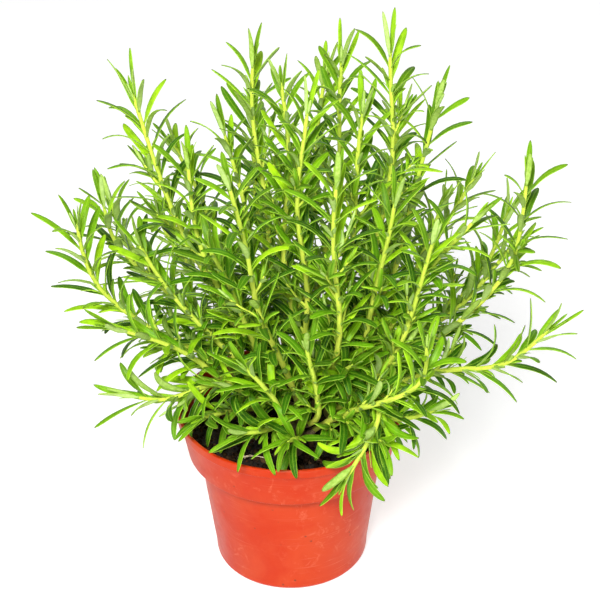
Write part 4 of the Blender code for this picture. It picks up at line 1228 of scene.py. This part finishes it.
def make_soil():
    """The plug of soil: a rough crumbly surface over a plain body in the pot."""
    seg = 220
    rings = [(0.0, 0)] + [(r, 1) for r in np.linspace(1.2, 58.4, 60)]
    verts, index = [], []
    zedge = SOIL_Z
    for r, _ in rings:
        if r == 0.0:
            index.append(np.full(seg, len(verts)))
            verts.append((0.0, 0.0, rough_soil_height(0, 0)))
            continue
        index.append(np.arange(len(verts), len(verts) + seg))
        for k in range(seg):
            a = 2 * math.pi * k / seg
            x, y = r * math.cos(a), r * math.sin(a)
            h = rough_soil_height(x, y)
            if r > 54.5:
                h += 0.35 * (r - 54.5) * (0.5 + 0.9 * noise.noise(Vector((x / 6.0, y / 6.0, 9.0))))
            verts.append((x, y, h))
    for z in (79.0, 74.6, 71.0, 40.0, 5.0):
        r = inner_radius(z) - 0.7
        index.append(np.arange(len(verts), len(verts) + seg))
        for k in range(seg):
            a = 2 * math.pi * k / seg
            verts.append((r * math.cos(a), r * math.sin(a), z))
    index.append(np.full(seg, len(verts)))
    verts.append((0.0, 0.0, 3.0))
    quads, tris = [], []
    for a, b in zip(index, index[1:]):
        k = np.arange(seg)
        n = (k + 1) % seg
        if a[0] == a[1]:
            tris.append(np.stack([a[k], b[k], b[n]], 1))
        elif b[0] == b[1]:
            tris.append(np.stack([a[k], b[k], a[n]], 1))
        else:
            quads.append(np.stack([a[k], b[k], b[n], a[n]], 1))
    soil = fast_mesh("soil_plug", verts, [np.concatenate(quads), np.concatenate(tris)])
    place(soil, soil_material(), ["potting_soil"])

    # loose crumbs, chips of bark and threads of fibre on the surface
    rng = random.Random(11)
    ico_v, ico_f = icosphere(1)
    vs, fs, at, base = [], [], [], 0
    for i in range(1500):
        a = rng.uniform(0, 2 * math.pi)
        r = 58.4 * math.sqrt(rng.uniform(0.02, 0.985))
        x, y = r * math.cos(a), r * math.sin(a)
        size = rng.choice((0.5, 0.7, 0.9, 1.1, 1.5, 2.0)) * rng.uniform(0.8, 1.2)
        if r + size > 58.0:
            continue
        flat = rng.uniform(0.45, 0.9)
        sx, sy = size * rng.uniform(0.7, 1.3), size * rng.uniform(0.6, 1.0)
        th = rng.uniform(0, math.pi)
        z = rough_soil_height(x, y) + size * flat * 0.35
        off = rng.uniform(0, 100)
        pts = []
        for v in ico_v:
            k = 1.0 + 0.42 * noise.noise(Vector(v) * 1.7 + Vector((off, 0, 0)))
            px, py, pz = v[0] * sx * k, v[1] * sy * k, v[2] * size * flat * k
            pts.append((x + px * math.cos(th) - py * math.sin(th),
                        y + px * math.sin(th) + py * math.cos(th), z + pz))
        vs += pts
        fs.append(ico_f + base)
        base += len(ico_v)
        tint = rng.random() ** 1.3
        light = 0.85 if rng.random() < 0.012 else 0.0
        at += [(tint, light, 0.0, 1.0)] * len(ico_v)
    crumbs = fast_mesh("soil_crumbs", vs, [np.concatenate(fs)], {"crumb_a": at})
    place(crumbs, crumb_material(), ["potting_soil"])


def icosphere(level):
    t = (1 + 5 ** 0.5) / 2
    v = [(-1, t, 0), (1, t, 0), (-1, -t, 0), (1, -t, 0), (0, -1, t), (0, 1, t), (0, -1, -t),
         (0, 1, -t), (t, 0, -1), (t, 0, 1), (-t, 0, -1), (-t, 0, 1)]
    f = [(0, 11, 5), (0, 5, 1), (0, 1, 7), (0, 7, 10), (0, 10, 11), (1, 5, 9), (5, 11, 4),
         (11, 10, 2), (10, 7, 6), (7, 1, 8), (3, 9, 4), (3, 4, 2), (3, 2, 6), (3, 6, 8),
         (3, 8, 9), (4, 9, 5), (2, 4, 11), (6, 2, 10), (8, 6, 7), (9, 8, 1)]
    v = [tuple(unit(np.array(p, float))) for p in v]
    for _ in range(level):
        cache, g = {}, []

        def mid(a, b):
            key = (min(a, b), max(a, b))
            if key not in cache:
                cache[key] = len(v)
                v.append(tuple(unit(np.array(v[a]) + np.array(v[b]))))
            return cache[key]
        for a, b, c in f:
            ab, bc, ca = mid(a, b), mid(b, c), mid(c, a)
            g += [(a, ab, ca), (b, bc, ab), (c, ca, bc), (ab, bc, ca)]
        f = g
    return v, np.array(f)


def make_twig():
    lo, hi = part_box("dry_twig")
    lo, hi = [c / MM for c in lo], [c / MM for c in hi]
    tubes = Tubes(10)
    pts = []
    for k in range(26):
        f = k / 25.0
        x = lo[0] + (hi[0] - lo[0]) * f
        y = -31.5 + 1.6 * math.sin(3.0 * f) - 1.5 * f + 0.25 * math.sin(19.0 * f)
        z = rough_soil_height(x, y)
        pts.append(vec(x, y, max(z + 0.35, soil_height(x, y) + 1.1 + 0.5 * math.sin(math.pi * f))))
    line = Line(np.array(pts), vec(0, 0, 1))
    rad = [0.60 * (1.0 - 0.35 * k / 25.0) * (1.0 + 0.18 * math.sin(k * 1.9)) for k in range(26)]
    tubes.add(line.p, line.t, line.n, rad, [(0.5, 0, 0, 1)] * 26,
              lambda ang, j: 1.0 + 0.15 * np.sin(3 * ang + j * 0.4))
    for at, d, length in ((7, vec(-0.3, -0.8, 0.25), 3.0), (15, vec(0.6, 0.8, 0.2), 4.0)):
        start = pts[at]
        q = curve_through([start, start + unit(d) * length * 0.5, start + unit(d) * length + vec(0, 0, -0.4)], d, 0.5)
        ln = Line(q, vec(0, 0, 1))
        m = len(ln.p)
        tubes.add(ln.p, ln.t, ln.n, [0.26 - 0.14 * j / (m - 1.0) for j in range(m)], [(0.5, 0, 0, 1)] * m)
    place(tubes.build("dry_root_fibre", "twig_a"), twig_material(), ["dry_twig"])


# -------------------------------------------------------------- camera and light
def make_studio():
    scene = bpy.context.scene
    v = [(-15000, -15000, 0), (15000, -15000, 0), (15000, 15000, 0), (-15000, 15000, 0)]
    floor = fast_mesh("floor", v, [np.array([[0, 1, 2, 3]])], smooth=False)
    floor.data.materials.append(floor_material())
    cam_data = bpy.data.cameras.new("camera")
    cam = bpy.data.objects.new("camera", cam_data)
    scene.collection.objects.link(cam)
    cam_data.sensor_fit = "HORIZONTAL"
    cam_data.sensor_width = 36.0
    cam_data.lens = 90.0
    cam_data.clip_start, cam_data.clip_end = 0.01, 20.0
    pitch, roll = math.radians(30.2), math.radians(-0.52)
    fwd = vec(0, math.cos(pitch), -math.sin(pitch))
    right = vec(1, 0, 0)
    up = cross(right, fwd)
    r2 = right * math.cos(roll) + up * math.sin(roll)
    u2 = up * math.cos(roll) - right * math.sin(roll)
    m = Matrix(((r2[0], u2[0], -fwd[0], 6.1 * MM), (r2[1], u2[1], -fwd[1], -700.0 * MM),
                (r2[2], u2[2], -fwd[2], 573.0 * MM), (0, 0, 0, 1)))
    cam.matrix_world = m
    scene.camera = cam
    world = bpy.data.worlds.new("studio")
    world.use_nodes = True
    world.node_tree.nodes["Background"].inputs["Color"].default_value = (1.0, 1.0, 1.0, 1.0)
    # a pale studio sweep near the horizon that darkens overhead
    nodes, links = world.node_tree.nodes, world.node_tree.links
    where = nodes.new("ShaderNodeTexCoord")
    height = nodes.new("ShaderNodeSeparateXYZ")
    fade = nodes.new("ShaderNodeMapRange")
    fade.interpolation_type = "SMOOTHSTEP"
    for key, value in (("From Min", 0.08), ("From Max", 0.50), ("To Min", 0.80), ("To Max", 0.09)):
        fade.inputs[key].default_value = value
    links.new(where.outputs["Generated"], height.inputs["Vector"])
    links.new(height.outputs["Z"], fade.inputs["Value"])
    links.new(fade.outputs["Result"], nodes["Background"].inputs["Strength"])
    scene.world = world
    scene.view_settings.view_transform = "Standard"
    for name, loc, size, power in (("key", (-0.22, -1.16, 1.24), 0.45, 35.0),
                                   ("fill", (1.10, -0.80, 0.90), 1.0, 3.5),
                                   ("back", (0.2, 1.50, 1.40), 1.6, 11.0)):
        data = bpy.data.lights.new(name, "AREA")
        data.shape = "DISK"
        data.size = size
        data.energy = power
        light = bpy.data.objects.new(name, data)
        light.location = loc
        aim = Vector((0, 0, 0.17)) - Vector(loc)
        light.rotation_euler = aim.to_track_quat("-Z", "Y").to_euler()
        scene.collection.objects.link(light)


make_studio()
make_pot()
make_soil()
make_twig()
make_plant()

bpy.context.view_layer.update()
